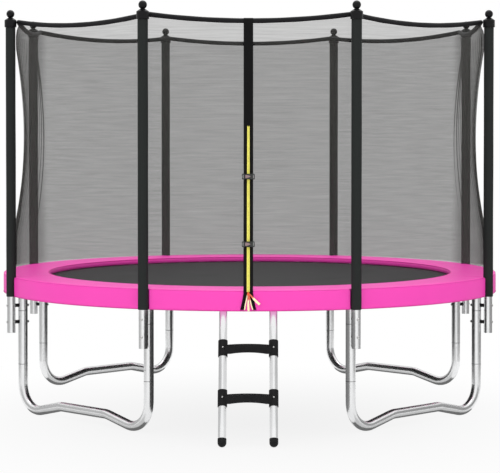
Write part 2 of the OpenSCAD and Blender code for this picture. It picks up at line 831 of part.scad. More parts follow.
module zip_ribbons() {
    front_r = door_foot_r + door_t + ribbon_gap;
    color("#f3d98a") at_front() translate([front_r, 0, 0]) upright() linear_extrude(ribbon_t) {
        for (r = ribbon_ends) ribbon([r[0], tape_end_z + r[1]], r[2]);
    }
}

// ---- buckles ----

// Box from x0 to x1, y0 to y1 and centred on z
module buckle_box(x0, x1, y0, y1, h) {
    translate([x0, y0, -h / 2]) cube([x1 - x0, y1 - y0, h]);
}

// Plate from one height over the webbing to another, of an outline drawn in XY
module buckle_plate(back, front) {
    translate([back, 0, 0]) upright() linear_extrude(front - back) children();
}

// Outline of a buckle half: rounded at its outer end and square at its inner end
module buckle_outline(inner) {
    corner = [buckle_round - buckle_w / 2, buckle_h / 2 - buckle_round];
    polygon(concat(
        [[inner, -buckle_h / 2], [inner, buckle_h / 2]],
        arc_points(corner, buckle_round, 90, 180, 5),
        arc_points([corner[0], -corner[1]], buckle_round, 180, 270, 5)
    ));
}

// Body of a buckle half with its foot on the webbing and the slot for its strap
module buckle_body(inner) {
    bar_end = buckle_bar - buckle_w / 2;
    foot_edge = 1 - door_w / 2;
    difference() {
        union() {
            buckle_plate(buckle_back, buckle_front) buckle_outline(inner);
            buckle_box(door_front + soft_gap, buckle_back + tiny, foot_edge, foot_edge + buckle_foot_w,
                buckle_h - 2 * buckle_round);
        }
        buckle_box(buckle_back - 1, buckle_front + 1, bar_end, bar_end + buckle_slot, buckle_h - 2 * buckle_bar);
    }
}

module buckle_housing() {
    difference() {
        buckle_body(buckle_split);
        buckle_box(buckle_back + buckle_wall, buckle_front - buckle_wall, buckle_split - prong_len - prong_room,
            buckle_split + 1, buckle_h - 2 * buckle_wall);
        for (side = [-1, 1]) translate([0, 0, side * buckle_h / 2])
            buckle_box(buckle_back - 1, buckle_front + 1, buckle_split - prong_len, buckle_split - buckle_rim, 6);
        buckle_box(buckle_front - buckle_wall - 1, buckle_front + 1, buckle_split - tongue_len, buckle_split + 1,
            tongue_w + 2 * prong_gap);
        translate([0, -buckle_w / 2, 0]) bar_x(end_notch_r, door_front - 1, buckle_front + 1);
    }
}

module buckle_housings() {
    color("#303030") for (rise = buckle_rises) on_zip() translate([0, 0, rise]) buckle_housing();
}

module buckle_clip() {
    start = buckle_split + prong_gap;
    x0 = buckle_back + buckle_wall + prong_gap;
    x1 = buckle_front - buckle_wall - prong_gap;
    prong_at = (buckle_h - prong_w) / 2 - buckle_wall - prong_gap;
    color("#46403f") union() {
        mirror([0, 1, 0]) buckle_body(-start);
        for (side = [-1, 1]) translate([0, 0, side * prong_at])
            buckle_box(x0, x1, start - prong_len, start + tiny, prong_w);
        buckle_box(x0, x1, start - tongue_len, start + tiny, tongue_w);
    }
}

module buckle_clip_lower() {
    on_zip() translate([0, 0, buckle_rises[0]]) buckle_clip();
}

module buckle_clip_upper() {
    on_zip() translate([0, 0, buckle_rises[1]]) buckle_clip();
}

// ---- ladder ----

// Flat strip bent over the ring, open below on its outer side
module ladder_hook() {
    outer_end = -25;
    inner_end = 180 + ladder_lean + 8;
    translate([hook_axis_r, 0, hook_z]) rotate([90, 0, 0]) rotate([0, 0, outer_end])
        rotate_extrude(angle = inner_end - outer_end) translate([hook_in_r, -hook_w / 2])
            square([hook_t, hook_w]);
}

module ladder_rail(side) {
    foot_end = foot_centre_s - rail_foot_gap;
    union() {
        on_rail(side) translate([0, 0, -foot_end]) linear_extrude(foot_end + rail_over)
            wall_section(rail_r, tube_wall);
        at_front() translate([0, side * ladder_x, 0]) ladder_hook();
    }
}

module ladder_rails() {
    color("silver") for (side = [-1, 1]) difference() {
        ladder_rail(side);
        for (z = step_zs) step_screw_bore(side, z);
    }
}

function step_s(z) = (z - rail_near[1]) / cos(ladder_lean);

module step_screw_bore(side, z) {
    on_rail(side) translate([0, 0, step_s(z)]) bar_x(step_screw_d / 2 + 0.3, 0, step_sleeve_d);
}

// Front view of a tread: crowned top and arched underside, drawn with +X across and +Y up
module tread_face(top_drop) {
    half = ladder_x - rail_r * 0.4;
    crown_r = (half * half + step_crown * step_crown) / (2 * step_crown);
    arch_half = half - step_sleeve_d * 0.6;
    arch_r = (arch_half * arch_half + step_arch * step_arch) / (2 * step_arch);
    intersection() {
        difference() {
            translate([-half, -step_h / 2]) square([2 * half, step_h - top_drop + tiny]);
            translate([0, -step_h / 2 + step_arch - arch_r]) circle(r = arch_r, $fn = 180);
        }
        translate([0, step_h / 2 - top_drop - crown_r]) circle(r = crown_r, $fn = 360);
    }
}

module tread_slab(top_drop, depth, at) {
    translate([at - depth / 2, 0, 0]) upright() linear_extrude(depth) tread_face(top_drop);
}

module ladder_step(z) {
    s = step_s(z);
    centre_r = rail_near[0] - s * sin(ladder_lean);
    pitch = (step_depth - rib_w) / (ribs - 1);
    difference() {
        union() {
            at_front() translate([centre_r, 0, z]) union() {
                tread_slab(rib_h, step_depth, 0);
                for (i = [0:ribs - 1]) tread_slab(0, rib_w, -step_depth / 2 + rib_w / 2 + i * pitch);
            }
            for (side = [-1, 1]) on_rail(side) translate([0, 0, s - step_sleeve_len / 2])
                cylinder(d = step_sleeve_d, h = step_sleeve_len);
        }
        for (side = [-1, 1]) {
            on_rail(side) translate([0, 0, s - step_sleeve_len])
                cylinder(r = rail_r + step_slip, h = 2 * step_sleeve_len);
            step_screw_bore(side, z);
        }
    }
}

module ladder_steps() {
    color("#1c1c1c") for (z = step_zs) ladder_step(z);
}

module ladder_foot_caps() {
    color("#1c1c1c") for (side = [-1, 1]) on_rail(side) translate([0, 0, -foot_centre_s]) rotate_extrude()
        polygon(concat(
            [[0, 0]],
            arc_points([0, 0], foot_r, -90, 0, 12),
            [[foot_r, foot_side], [rail_r + slip_gap, foot_side], [rail_r + slip_gap, 0]]
        ));
}

module ladder_screws() {
    color("gray") for (side = [-1, 1], z = step_zs) on_rail(side) translate([0, 0, step_s(z)]) rotate([0, 90, 0])
        rotate_extrude() polygon([
            [0, rail_r - tube_wall - 5],
            [step_screw_d / 2, rail_r - tube_wall - 4],
            [step_screw_d / 2, step_sleeve_d / 2 + bolt_seat],
            [step_screw_d, step_sleeve_d / 2 + bolt_seat],
            [step_screw_d * 0.7, step_sleeve_d / 2 + bolt_seat + 2.4],
            [0, step_sleeve_d / 2 + bolt_seat + 2.8]
        ]);
}

for (k = [1:posts]) top_rail(k);
for (k = [1:posts]) tee_socket(k);
for (k = [1:posts]) leg_extension(k);
for (m = [1:posts / 2]) bent_leg(m);
for (k = [1:posts]) pole(k);
foam_sleeves();
pole_caps();
pole_bolts();
pole_nuts();
pole_spacers();
leg_screws();
safety_pad();
jumping_mat();
mat_hem();
mat_v_rings();
springs();
enclosure_net();
top_belt();
door_strip();
zip_chain();
zip_slider();
zip_ribbons();
buckle_housings();
buckle_clip_lower();
buckle_clip_upper();
ladder_rails();
ladder_steps();
ladder_foot_caps();
ladder_screws();
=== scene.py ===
import bpy
import math
import random
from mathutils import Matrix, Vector


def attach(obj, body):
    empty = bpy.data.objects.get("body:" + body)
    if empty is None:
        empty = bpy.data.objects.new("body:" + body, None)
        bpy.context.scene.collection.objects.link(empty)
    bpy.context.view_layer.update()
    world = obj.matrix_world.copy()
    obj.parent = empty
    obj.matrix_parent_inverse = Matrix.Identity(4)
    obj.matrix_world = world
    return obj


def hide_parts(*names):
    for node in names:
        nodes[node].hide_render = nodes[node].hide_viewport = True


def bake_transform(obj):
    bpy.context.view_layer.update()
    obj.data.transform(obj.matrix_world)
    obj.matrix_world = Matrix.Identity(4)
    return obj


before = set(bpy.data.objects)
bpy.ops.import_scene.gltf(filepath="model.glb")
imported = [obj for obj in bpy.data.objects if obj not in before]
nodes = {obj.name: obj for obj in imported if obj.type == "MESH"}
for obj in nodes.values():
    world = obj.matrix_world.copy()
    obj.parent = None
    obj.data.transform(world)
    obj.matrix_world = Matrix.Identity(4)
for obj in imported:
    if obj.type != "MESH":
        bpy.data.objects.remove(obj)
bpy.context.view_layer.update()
rng = random.Random(7)           # one seed, so that every run draws the same gathers

# ---------------------------------------------------------------- sizes, in metres
AX = 0.155907                    # the ring's axis lies this far behind the origin
POSTS, SPRINGS = 8, 64
POST_NOS = range(1, POSTS + 1)
BAY = 360 / POSTS                # degrees from one post to the next
RING_R, LEG_R = 1.497, 0.0285    # from the axis to the ring tubes and legs, and the legs' own radius
POLE_R = 1.570                   # from the axis to the poles
JOINT_ZS, BOLT_ZS = (0.625, 0.299), (0.657, 0.557)
PAD_IN, PAD_OUT = 1.276, 1.562
PAD_TOP, PAD_UNDER, PAD_LIP = 0.833, 0.8075, 0.7944
SKIRT_Z, SKIRT_T = 0.7112, 0.026
MAT_R, MAT_Z, MAT_T, HEM_W, HEM_T = 1.270, 0.794, 0.002, 0.030, 0.004
FOAM_Z0, FOAM_Z1, FOAM_R = 0.712, 2.34667, 0.030
BELT_R, BELT_Z, BELT_SAG, BELT_RING = 0.015, 2.378, 0.038, 1.5186
# the net: beside a pole it has a waist between foot and tie, in mid bay a knee between foot and belt
NET_FOOT_Z, NET_TOP_Z = 0.8308, 2.3626
NET_FOOT_R, NET_CORNER_R, NET_TIE_Z = 1.551, 1.539, 2.315
WAIST_R, WAIST_Z, WAIST_HALF = 1.484, 1.655, 0.565
NET_KNEE_Z, NET_KNEE_R = 1.790, 1.3966
NET_TOP_MID_Z, NET_TOP_MID_R = NET_TOP_Z - BELT_SAG, BELT_RING * math.cos(math.radians(BAY / 2))
# the door strip: it leans in from its foot to the knee, then goes up to the belt's front
DOOR_FOOT_R, DOOR_FOOT_Z, DOOR_KNEE_R, DOOR_KNEE_Z = 1.5637, 0.820, 1.397, 1.790
DOOR_TOP_Z, DOOR_TOP_R = 2.355, NET_TOP_MID_R + BELT_R + 0.0004
DOOR_W, DOOR_T = 0.054, 0.0025
LEAN = math.radians(9.75135)
FRONT_TURN = math.radians(-0.3)  # the door stands this far round the ring's axis


def rad(a):
    return math.radians(a)


def post_angle(k):
    """Degrees round the ring's axis at which post k stands."""
    return -90 + BAY / 2 + (k - 1) * BAY


def polar(r, angle, z):
    """Point at radius r and an angle in degrees round the ring's axis, at height z."""
    return Vector((r * math.cos(rad(angle)), AX + r * math.sin(rad(angle)), z))


# ---------------------------------------------------------------- materials
def node_tree(name, base, rough, metallic=0.0, sheen=0.0, specular=0.5):
    """Material with one Principled shader; returns it, its nodes, its links and the shader."""
    m = bpy.data.materials.new(name)
    m.use_nodes = True
    n, l = m.node_tree.nodes, m.node_tree.links
    s = n["Principled BSDF"]
    s.inputs["Base Color"].default_value = (*base, 1)
    s.inputs["Roughness"].default_value = rough
    s.inputs["Metallic"].default_value = metallic
    s.inputs["Sheen Weight"].default_value = sheen
    s.inputs["Sheen Roughness"].default_value = 0.4
    s.inputs["Specular IOR Level"].default_value = specular
    return m, n, l, s


def coords(n, uv=False):
    """The object's own coordinates, or its UVs, both in metres."""
    t = n.new("ShaderNodeTexCoord")
    return t.outputs["UV"] if uv else t.outputs["Object"]


def mapped(n, l, source, scale):
    m = n.new("ShaderNodeMapping")
    m.inputs["Scale"].default_value = scale
    l.new(source, m.inputs["Vector"])
    return m.outputs["Vector"]


def noise(n, l, vector, scale, detail, rough=0.5):
    t = n.new("ShaderNodeTexNoise")
    t.inputs["Scale"].default_value = scale
    t.inputs["Detail"].default_value = detail
    t.inputs["Roughness"].default_value = rough
    l.new(vector, t.inputs["Vector"])
    return t.outputs["Fac"]


WAVE_SCALE = 3.1831              # a Wave texture's bands repeat each 1 / (scale * 3.1831) metres


def wave(n, l, vector, pitch, direction):
    """Soft bands that repeat at a pitch in metres."""
    t = n.new("ShaderNodeTexWave")
    t.wave_type = "BANDS"
    t.bands_direction = direction
    t.inputs["Scale"].default_value = 1 / (pitch * WAVE_SCALE)
    l.new(vector, t.inputs["Vector"])
    return t.outputs["Fac"]


def math_node(n, l, op, a, b):
    t = n.new("ShaderNodeMath")
    t.operation = op
    for i, v in enumerate((a, b)):
        if isinstance(v, (int, float)):
            t.inputs[i].default_value = v
        else:
            l.new(v, t.inputs[i])
    return t.outputs[0]


def times(n, l, a, b):
    return math_node(n, l, "MULTIPLY", a, b)


def plus(n, l, a, b):
    return math_node(n, l, "ADD", a, b)


def xyz(n, l, vector):
    """The three parts of a vector."""
    t = n.new("ShaderNodeSeparateXYZ")
    l.new(vector, t.inputs["Vector"])
    return t.outputs


def ramp(n, l, fac, stops):
    """Colour ramp through (position, colour) stops."""
    t = n.new("ShaderNodeValToRGB")
    e = t.color_ramp.elements
    e[0].position, e[0].color = stops[0][0], (*stops[0][1], 1)
    e[1].position, e[1].color = stops[-1][0], (*stops[-1][1], 1)
    for p, c in stops[1:-1]:
        x = e.new(p)
        x.color = (*c, 1)
    l.new(fac, t.inputs["Fac"])
    return t.outputs["Color"]


def span(n, l, fac, low, high, start=0.0, end=1.0):
    """Takes start..end to low..high."""
    t = n.new("ShaderNodeMapRange")
    t.inputs["From Min"].default_value = start
    t.inputs["From Max"].default_value = end
    t.inputs["To Min"].default_value = low
    t.inputs["To Max"].default_value = high
    l.new(fac, t.inputs["Value"])
    return t.outputs["Result"]


def smooth_step(n, l, value, zero, one):
    """0 at zero and 1 at one, eased between them."""
    t = n.new("ShaderNodeMapRange")
    t.interpolation_type = "SMOOTHSTEP"
    t.inputs["From Min"].default_value = min(zero, one)
    t.inputs["From Max"].default_value = max(zero, one)
    t.inputs["To Min"].default_value = 0.0 if zero < one else 1.0
    t.inputs["To Max"].default_value = 1.0 if zero < one else 0.0
    l.new(value, t.inputs["Value"])
    return t.outputs["Result"]


def bump(n, l, s, height, distance, strength):
    t = n.new("ShaderNodeBump")
    t.inputs["Distance"].default_value = distance
    t.inputs["Strength"].default_value = strength
    l.new(height, t.inputs["Height"])
    l.new(t.outputs["Normal"], s.inputs["Normal"])


def shade(c, k):
    """Colour c made k times as bright."""
    return tuple(min(1.0, x * k) for x in c)


def metal(name, base, rough, spangle=30.0):
    """Galvanised or plated steel: faint spangle in the colour, uneven gloss and fine scratches."""
    m, n, l, s = node_tree(name, base, rough, metallic=1.0)
    v = coords(n)
    t = n.new("ShaderNodeTexVoronoi")
    t.inputs["Scale"].default_value = spangle
    l.new(v, t.inputs["Vector"])
    grain = noise(n, l, v, 9.0, 4, 0.6)
    mixed = plus(n, l, times(n, l, t.outputs["Color"], 0.25), times(n, l, grain, 0.75))
    l.new(ramp(n, l, mixed, [(0.25, shade(base, 0.95)), (0.75, shade(base, 1.03))]), s.inputs["Base Color"])
    l.new(span(n, l, noise(n, l, v, 14.0, 4, 0.6), rough * 0.88, rough * 1.14), s.inputs["Roughness"])
    bump(n, l, s, noise(n, l, v, 300.0, 3, 0.6), 0.00001, 0.3)
    return m


def plastic(name, base, rough, grain=700.0, depth=0.00006, specular=0.5):
    """Moulded plastic: a fine grain, uneven gloss and slight changes of tone."""
    m, n, l, s = node_tree(name, base, rough, specular=specular)
    v = coords(n)
    l.new(span(n, l, noise(n, l, v, 18.0, 4, 0.6), rough * 0.85, rough * 1.2), s.inputs["Roughness"])
    l.new(ramp(n, l, noise(n, l, v, 30.0, 3, 0.6), [(0.3, shade(base, 0.85)), (0.7, shade(base, 1.2))]),
          s.inputs["Base Color"])
    bump(n, l, s, noise(n, l, v, grain, 2, 0.5), depth, 0.7)
    return m


def woven(name, base, rough, pitch, depth, sheen=0.0, contrast=0.25, mottle=0.12, specular=0.4):
    """Cloth woven at a pitch in metres: two crossed bands give the threads' height and shade."""
    m, n, l, s = node_tree(name, base, rough, sheen=sheen, specular=specular)
    v = coords(n, True)
    a, b = wave(n, l, v, pitch, "X"), wave(n, l, v, pitch, "Y")
    threads = times(n, l, a, b)
    blotch = noise(n, l, v, 3.0, 4, 0.6)
    fac = plus(n, l, times(n, l, threads, contrast), times(n, l, blotch, mottle * 2))
    top = contrast + mottle * 2
    stops = [(0.0, shade(base, 1 - contrast)), (top * 0.75, base), (top, shade(base, 1 + mottle))]
    l.new(ramp(n, l, fac, stops), s.inputs["Base Color"])
    l.new(span(n, l, blotch, rough * 0.85, rough * 1.15), s.inputs["Roughness"])
    bump(n, l, s, threads, depth, 0.8)
    return m


PINK = (0.93, 0.058, 0.475)
STEEL = metal("Galvanised", (0.88, 0.885, 0.89), 0.24)
# dark metal for the leg joints: painted shadow of the gaps where the tubes meet
JOINT_SHADOW = metal("JointPaintedShadow", (0.10, 0.10, 0.105), 0.4)
ZINC = metal("ZincPlate", (0.62, 0.62, 0.61), 0.32, 90.0)
SPRING = metal("SpringWire", (0.6, 0.6, 0.61), 0.28, 160.0)
CAP = plastic("CapPlastic", (0.006, 0.006, 0.0065), 0.3, 500.0, 0.00004, specular=0.14)
BLACK = plastic("MouldedBlack", (0.010, 0.010, 0.0105), 0.42, specular=0.10)
BUCKLE = plastic("BucklePlastic", (0.012, 0.014, 0.013), 0.45)
BUCKLE_PIN = plastic("BuckleTongue", (0.25, 0.165, 0.175), 0.35)
FOAM = woven("FoamCover", (0.024, 0.027, 0.026), 0.6, 0.0011, 0.0001, specular=0.05)
NUT = metal("BlackenedNut", (0.07, 0.07, 0.07), 0.35, 90.0)
PAD = woven("PadCover", PINK, 0.42, 0.0016, 0.00006, contrast=0.10, mottle=0.03, specular=0.35)
BACKING = woven("PadBacking", (0.02, 0.02, 0.021), 0.6, 0.0016, 0.00006, specular=0.2)
PIPING = woven("PadPiping", shade(PINK, 0.86), 0.5, 0.001, 0.00005, contrast=0.2, mottle=0.05)
MAT = woven("MatWeave", (0.034, 0.034, 0.035), 0.62, 0.0032, 0.0003, contrast=0.5, mottle=0.1, specular=0.12)
HEM = woven("HemWebbing", (0.022, 0.022, 0.023), 0.6, 0.0018, 0.0002)
BELT = woven("BeltSleeve", (0.008, 0.008, 0.009), 0.6, 0.0012, 0.0001, sheen=0.02, specular=0.15)
WEB = woven("DoorWebbing", (0.007, 0.007, 0.0072), 0.6, 0.0016, 0.00015, sheen=0.01, specular=0.06)
ZIP = plastic("ZipTeeth", (0.97, 0.88, 0.17), 0.4, 300.0)
ZIPTAPE = woven("ZipTape", (0.95, 0.86, 0.15), 0.6, 0.0012, 0.0001)
PULL = plastic("SliderEnamel", (0.80, 0.10, 0.025), 0.3, 300.0, 0.00003)


def ribbon_material(name, tied, loose, change):
    """Satin ribbon with fine cross ribs, whose colour goes from tied to loose at change metres down it."""
    m, n, l, s = node_tree(name, loose, 0.5, sheen=0.15, specular=0.3)
    v = coords(n, True)
    along = times(n, l, xyz(n, l, v)["Y"], 10.0)     # the ramp covers 0.1 m
    wander = times(n, l, noise(n, l, v, 90.0, 2), 0.08)
    at = change * 10 + 0.04
    stops = [(at - 0.05, tied), (at + 0.05, loose), (1.0, shade(loose, 0.96))]
    l.new(ramp(n, l, plus(n, l, along, wander), stops), s.inputs["Base Color"])
    bump(n, l, s, wave(n, l, v, 0.0012, "Y"), 0.00008, 0.6)
    return m


CORAL = (0.76, 0.14, 0.075)
CREAM = (0.97, 0.84, 0.52)
RIBBON = ribbon_material("RibbonCream", (0.90, 0.62, 0.30), CREAM, 0.004)
RIBBON_CORAL = ribbon_material("RibbonCoral", CORAL, CREAM, 0.036)
# a darker pink for the skirt's hem: painted shade along the skirt's lower edge
SKIRT_EDGE_SHADE = woven("PadSkirtEdgeShade", shade(PINK, 0.7), 0.6, 0.0008, 0.00005)

# the net's knit: its thread, and the least and most of the surface that it covers
NET_THREAD, KNIT_PITCH = (0.054, 0.054, 0.050), 0.0042
KNIT_THIN, KNIT_CLOSE = 0.318, 0.580
# the open stretch at its foot: its upper limit over the origin, the rise of that to the front, how open it is
OPEN_LEVEL, OPEN_SLOPE, OPEN_SHARE = 0.8490, 0.131, 0.9
# beyond these distances to either side it is closer
SIDE_FROM, SIDE_FULL, SIDE_MORE = 1.35, 1.42, 0.25


def net_material():
    """Knitted mesh: black thread that covers less than half of the surface, in fine level courses."""
    m, n, l, s = node_tree("NetMesh", NET_THREAD, 0.7, specular=0.1)
    v = coords(n, True)
    courses = noise(n, l, mapped(n, l, v, (3.4, 96.0, 1.0)), 1.0, 3, 0.6)
    broad = noise(n, l, mapped(n, l, v, (6.0, 2.0, 1.0)), 1.0, 2, 0.5)
    knit = wave(n, l, v, KNIT_PITCH, "Y")
    mixed = plus(n, l, times(n, l, courses, 0.94), times(n, l, broad, 0.06))
    alpha = plus(n, l, span(n, l, mixed, KNIT_THIN, KNIT_CLOSE), times(n, l, knit, 0.02))
    # the front bays are knitted more open in their lowest stretch
    place = xyz(n, l, coords(n))
    level = plus(n, l, place["Z"], times(n, l, place["Y"], OPEN_SLOPE))
    low = smooth_step(n, l, level, OPEN_LEVEL + 0.004, OPEN_LEVEL - 0.008)
    open_knit = math_node(n, l, "SUBTRACT", 1.0, times(n, l, low, OPEN_SHARE))
    # the two side bays hang in closer gathers
    aside = math_node(n, l, "ABSOLUTE", place["X"], 0.0)
    closer = times(n, l, smooth_step(n, l, aside, SIDE_FROM, SIDE_FULL), SIDE_MORE)
    alpha = plus(n, l, alpha, closer)
    l.new(times(n, l, alpha, open_knit), s.inputs["Alpha"])
    bump(n, l, s, knit, 0.0002, 0.3)
    return m


NET = net_material()


# ---------------------------------------------------------------- mesh helpers
# a part is (verts, faces, uvs), with one UV for each vertex, in metres
def add_mesh(name, part, material, body="frame", replaces=(), smooth=True, ride=True):
    """Object of a part, its body and the CAD nodes that it stands for."""
    verts, faces, uvs = part
    me = bpy.data.meshes.new(name)
    me.from_pydata([tuple(v) for v in verts], [], faces)
    layer = me.uv_layers.new(name="UVMap")
    for i, corner in enumerate(me.loops):
        layer.data[i].uv = uvs[corner.vertex_index]
    for p in me.polygons:
        p.use_smooth = smooth
    me.materials.append(material)
    me.update()
    o = bpy.data.objects.new(name, me)
    bpy.context.scene.collection.objects.link(o)
    if replaces:
        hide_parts(*replaces)
    if ride:
        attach(o, body)
    return o


def join(parts):
    """One part from several."""
    verts, faces, uvs = [], [], []
    for v, f, u in parts:
        base = len(verts)
        verts += v
        faces += [tuple(i + base for i in face) for face in f]
        uvs += u
    return verts, faces, uvs


def lathe(profile, centre, segments):
    """Revolved (r, z) profile about a vertical line through centre, with metre UVs."""
    verts, uvs = [], []
    run = 0.0
    for i, (r, z) in enumerate(profile):
        if i:
            run += math.dist(profile[i - 1], (r, z))
        for j in range(segments):
            a = 2 * math.pi * j / segments
            verts.append(Vector((centre[0] + r * math.cos(a), centre[1] + r * math.sin(a), z)))
            uvs.append((a * max(r, 0.02), run))
    return verts, grid_faces(len(profile) - 1, segments, wrap=True), uvs


def tube(points, radius, sides, closed=False):
    """Round tube through points; radius is a number or a list. Open ends are capped."""
    n = len(points)
    verts, faces, uvs = [], [], []
    run = 0.0
    frame_x = None
    for i, p in enumerate(points):
        a = points[(i - 1) % n] if closed or i else points[0]
        b = points[(i + 1) % n] if closed or i < n - 1 else points[-1]
        t = (Vector(b) - Vector(a)).normalized()
        if frame_x is None:
            ref = Vector((0, 0, 1)) if abs(t.z) < 0.95 else Vector((1, 0, 0))
            frame_x = (ref - t * ref.dot(t)).normalized()
        else:
            frame_x = (frame_x - t * frame_x.dot(t)).normalized()
        frame_y = t.cross(frame_x)
        r = radius[i] if isinstance(radius, (list, tuple)) else radius
        if i:
            run += (Vector(p) - Vector(points[i - 1])).length
        for j in range(sides):
            c = 2 * math.pi * j / sides
            verts.append(Vector(p) + r * (math.cos(c) * frame_x + math.sin(c) * frame_y))
            uvs.append((run, c * r))
    for i in range(n if closed else n - 1):
        for j in range(sides):
            k = (j + 1) % sides
            i2 = (i + 1) % n
            faces.append((i * sides + j, i2 * sides + j, i2 * sides + k, i * sides + k))
    if not closed:
        faces.append(tuple(range(sides)))
        faces.append(tuple((n - 1) * sides + j for j in reversed(range(sides))))
    return verts, faces, uvs


def grid_faces(rows, cols, wrap=False):
    """Faces of a grid of points, in rows; wrap closes each row on itself."""
    width = cols if wrap else cols + 1
    out = []
    for r in range(rows):
        for c in range(cols):
            c2 = (c + 1) % width if wrap else c + 1
            out.append((r * width + c, r * width + c2, (r + 1) * width + c2, (r + 1) * width + c))
    return out


def swept(angles, sections, mean_r):
    """Ring of closed (r, z) sections, one at each angle; mean_r turns the angles into metres for the UVs."""
    verts, uvs = [], []
    for a, section in zip(angles, sections):
        run = 0.0
        for j, (r, z) in enumerate(section):
            run += math.dist(section[j - 1], (r, z)) if j else 0
            verts.append(polar(r, a, z))
            uvs.append((rad(a) * mean_r, run))
    m, n = len(sections), len(sections[0])
    faces = [(i * n + j, (i + 1) % m * n + j, (i + 1) % m * n + (j + 1) % n, i * n + (j + 1) % n)
             for i in range(m) for j in range(n)]
    return verts, faces, uvs


def slab(front, back, rows, cols, uv):
    """Closed thin sheet between two grids of points."""
    n = (rows + 1) * (cols + 1)
    faces = grid_faces(rows, cols)
    faces += [tuple(n + i for i in reversed(f)) for f in grid_faces(rows, cols)]
    w = cols + 1
    for r in range(rows):
        faces.append((r * w, (r + 1) * w, n + (r + 1) * w, n + r * w))
        faces.append((r * w + cols, n + r * w + cols, n + (r + 1) * w + cols, (r + 1) * w + cols))
    for c in range(cols):
        faces.append((c, n + c, n + c + 1, c + 1))
        faces.append((rows * w + c, rows * w + c + 1, n + rows * w + c + 1, n + rows * w + c))
    return list(front) + list(back), faces, list(uv) + list(uv)


def band(rows, across, point, turned=False):
    """Thin sheet; point(i, x) gives front, back and UVs at row i, x across. A mirrored sheet is turned."""
    front, back, uv = zip(*[point(i, x) for i in range(rows + 1) for x in across])
    v, f, u = slab(front, back, rows, len(across) - 1, uv)
    return v, [tuple(reversed(q)) for q in f] if turned else f, u


# ---------------------------------------------------------------- door frame of reference
def door_point(across, r, z):
    """Point across the door at radius r from the ring's axis, turned round that axis with the door."""
    c, s = math.cos(FRONT_TURN), math.sin(FRONT_TURN)
    return Vector((across * c + r * s, AX + across * s - r * c, z))


def zip_point(s, across, out):
    """Point at s up the zip from its foot, across it and out of the webbing's back face."""
    r = DOOR_FOOT_R - s * math.sin(LEAN) + out * math.cos(LEAN)
    z = DOOR_FOOT_Z + s * math.cos(LEAN) + out * math.sin(LEAN)
    return door_point(across, r, z)


# ---------------------------------------------------------------- carried-over CAD nodes
def dress(prefixes, material):
    """Puts one material on the CAD nodes of these names, with or without a number."""
    for name, o in nodes.items():
        if any(name == p or name.startswith(p + "_") and name[len(p) + 1:].isdigit() for p in prefixes):
            o.data.materials.clear()
            o.data.materials.append(material)


dress(["top_rail", "tee_socket", "leg_extension", "bent_leg", "pole", "ladder_rails"], STEEL)
dress(["pole_bolts", "leg_screws", "ladder_screws", "mat_v_rings"], ZINC)
dress(["pole_nuts"], NUT)
dress(["pole_caps"], CAP)
dress(["ladder_steps", "ladder_foot_caps"], BLACK)


# ---------------------------------------------------------------- joints of the leg tubes
def joint_ring(k, z):
    """Rolled edge of an outer leg tube: a thin dark ring, painted shadow of the gap where the swaged tube
    goes in.
    """
    r, half, proud = LEG_R + 0.0002, 0.0014, 0.0003
    profile = [(r - 0.002, z - half), (r, z - half), (r + proud, z - half * 0.4), (r + proud, z + half * 0.4),
               (r, z + half), (r - 0.002, z + half), (r - 0.002, z - half)]
    return lathe(profile, polar(RING_R, post_angle(k), 0), 40)


rings = join([joint_ring(k, z) for k in POST_NOS for z in JOINT_ZS])
add_mesh("leg_joint_rings", rings, JOINT_SHADOW)

SPACER_IN, SPACER_OUT, SPACER_R = RING_R + LEG_R + 0.0001, POLE_R - 0.0251, 0.0115


def spacer(k, z):
    """Spacer between leg tube and pole: a waisted barrel on a bolt."""
    steps = [(0.0, 0.93), (0.08, 1.0), (0.3, 0.93), (0.5, 0.90), (0.7, 0.93), (0.92, 1.0), (1.0, 0.93)]
    places = [polar(SPACER_IN + (SPACER_OUT - SPACER_IN) * at, post_angle(k), z) for at, _ in steps]
    return tube(places, [SPACER_R * share for _, share in steps], 24)


barrels = join([spacer(k, z) for k in POST_NOS for z in BOLT_ZS])
add_mesh("pole_spacer_barrels", barrels, BLACK, replaces=("pole_spacers",))


# ---------------------------------------------------------------- foam sleeves
def foam_sleeve(k):
    """Foam tube in a sewn cover: a lengthwise seam, slight gathers, and hems turned in at both ends."""
    a = post_angle(k)
    centre = polar(POLE_R, a, 0)
    seg, rows = 40, 110
    verts, uvs = [], []
    seam = rad(a) + math.pi
    inner = 0.0256               # clears the pole
    profile = [(inner, FOAM_Z0 + 0.004), (inner + 0.0012, FOAM_Z0 + 0.0008), (FOAM_R - 0.0022, FOAM_Z0),
               (FOAM_R - 0.0006, FOAM_Z0 + 0.0024)]
    for i in range(rows + 1):
        z = FOAM_Z0 + 0.006 + (FOAM_Z1 - FOAM_Z0 - 0.012) * i / rows
        profile.append((None, z))
    profile += [(FOAM_R - 0.0006, FOAM_Z1 - 0.0024), (FOAM_R - 0.0022, FOAM_Z1),
                (inner + 0.0012, FOAM_Z1 - 0.0008), (inner, FOAM_Z1 - 0.004)]
    r1, r2 = rng.uniform(0, 6.28), rng.uniform(0, 6.28)
    for i, (r, z) in enumerate(profile):
        for j in range(seg):
            c = 2 * math.pi * j / seg
            if r is None:
                end = min(z - FOAM_Z0, FOAM_Z1 - z)
                gather = 0.00035 * math.exp(-end / 0.05) * math.sin(9 * c + r1)
                drift = 0.00022 * math.sin(2 * c + 11 * z + r1) + 0.0002 * math.sin(3 * c - 7 * z + r2)
                d = abs((c - seam + math.pi) % (2 * math.pi) - math.pi)
                ridge = 0.0008 * math.exp(-(d / 0.09) ** 2)
                rr = FOAM_R - 0.0005 + gather + drift + ridge
            else:
                rr = r
            verts.append(Vector((centre.x + rr * math.cos(c), centre.y + rr * math.sin(c), z)))
            uvs.append((c * FOAM_R, z))
    return verts, grid_faces(len(profile) - 1, seg, wrap=True), uvs


for k in POST_NOS:
    o = add_mesh(f"foam_sleeve_{k}", foam_sleeve(k), FOAM, replaces=("foam_sleeves",))


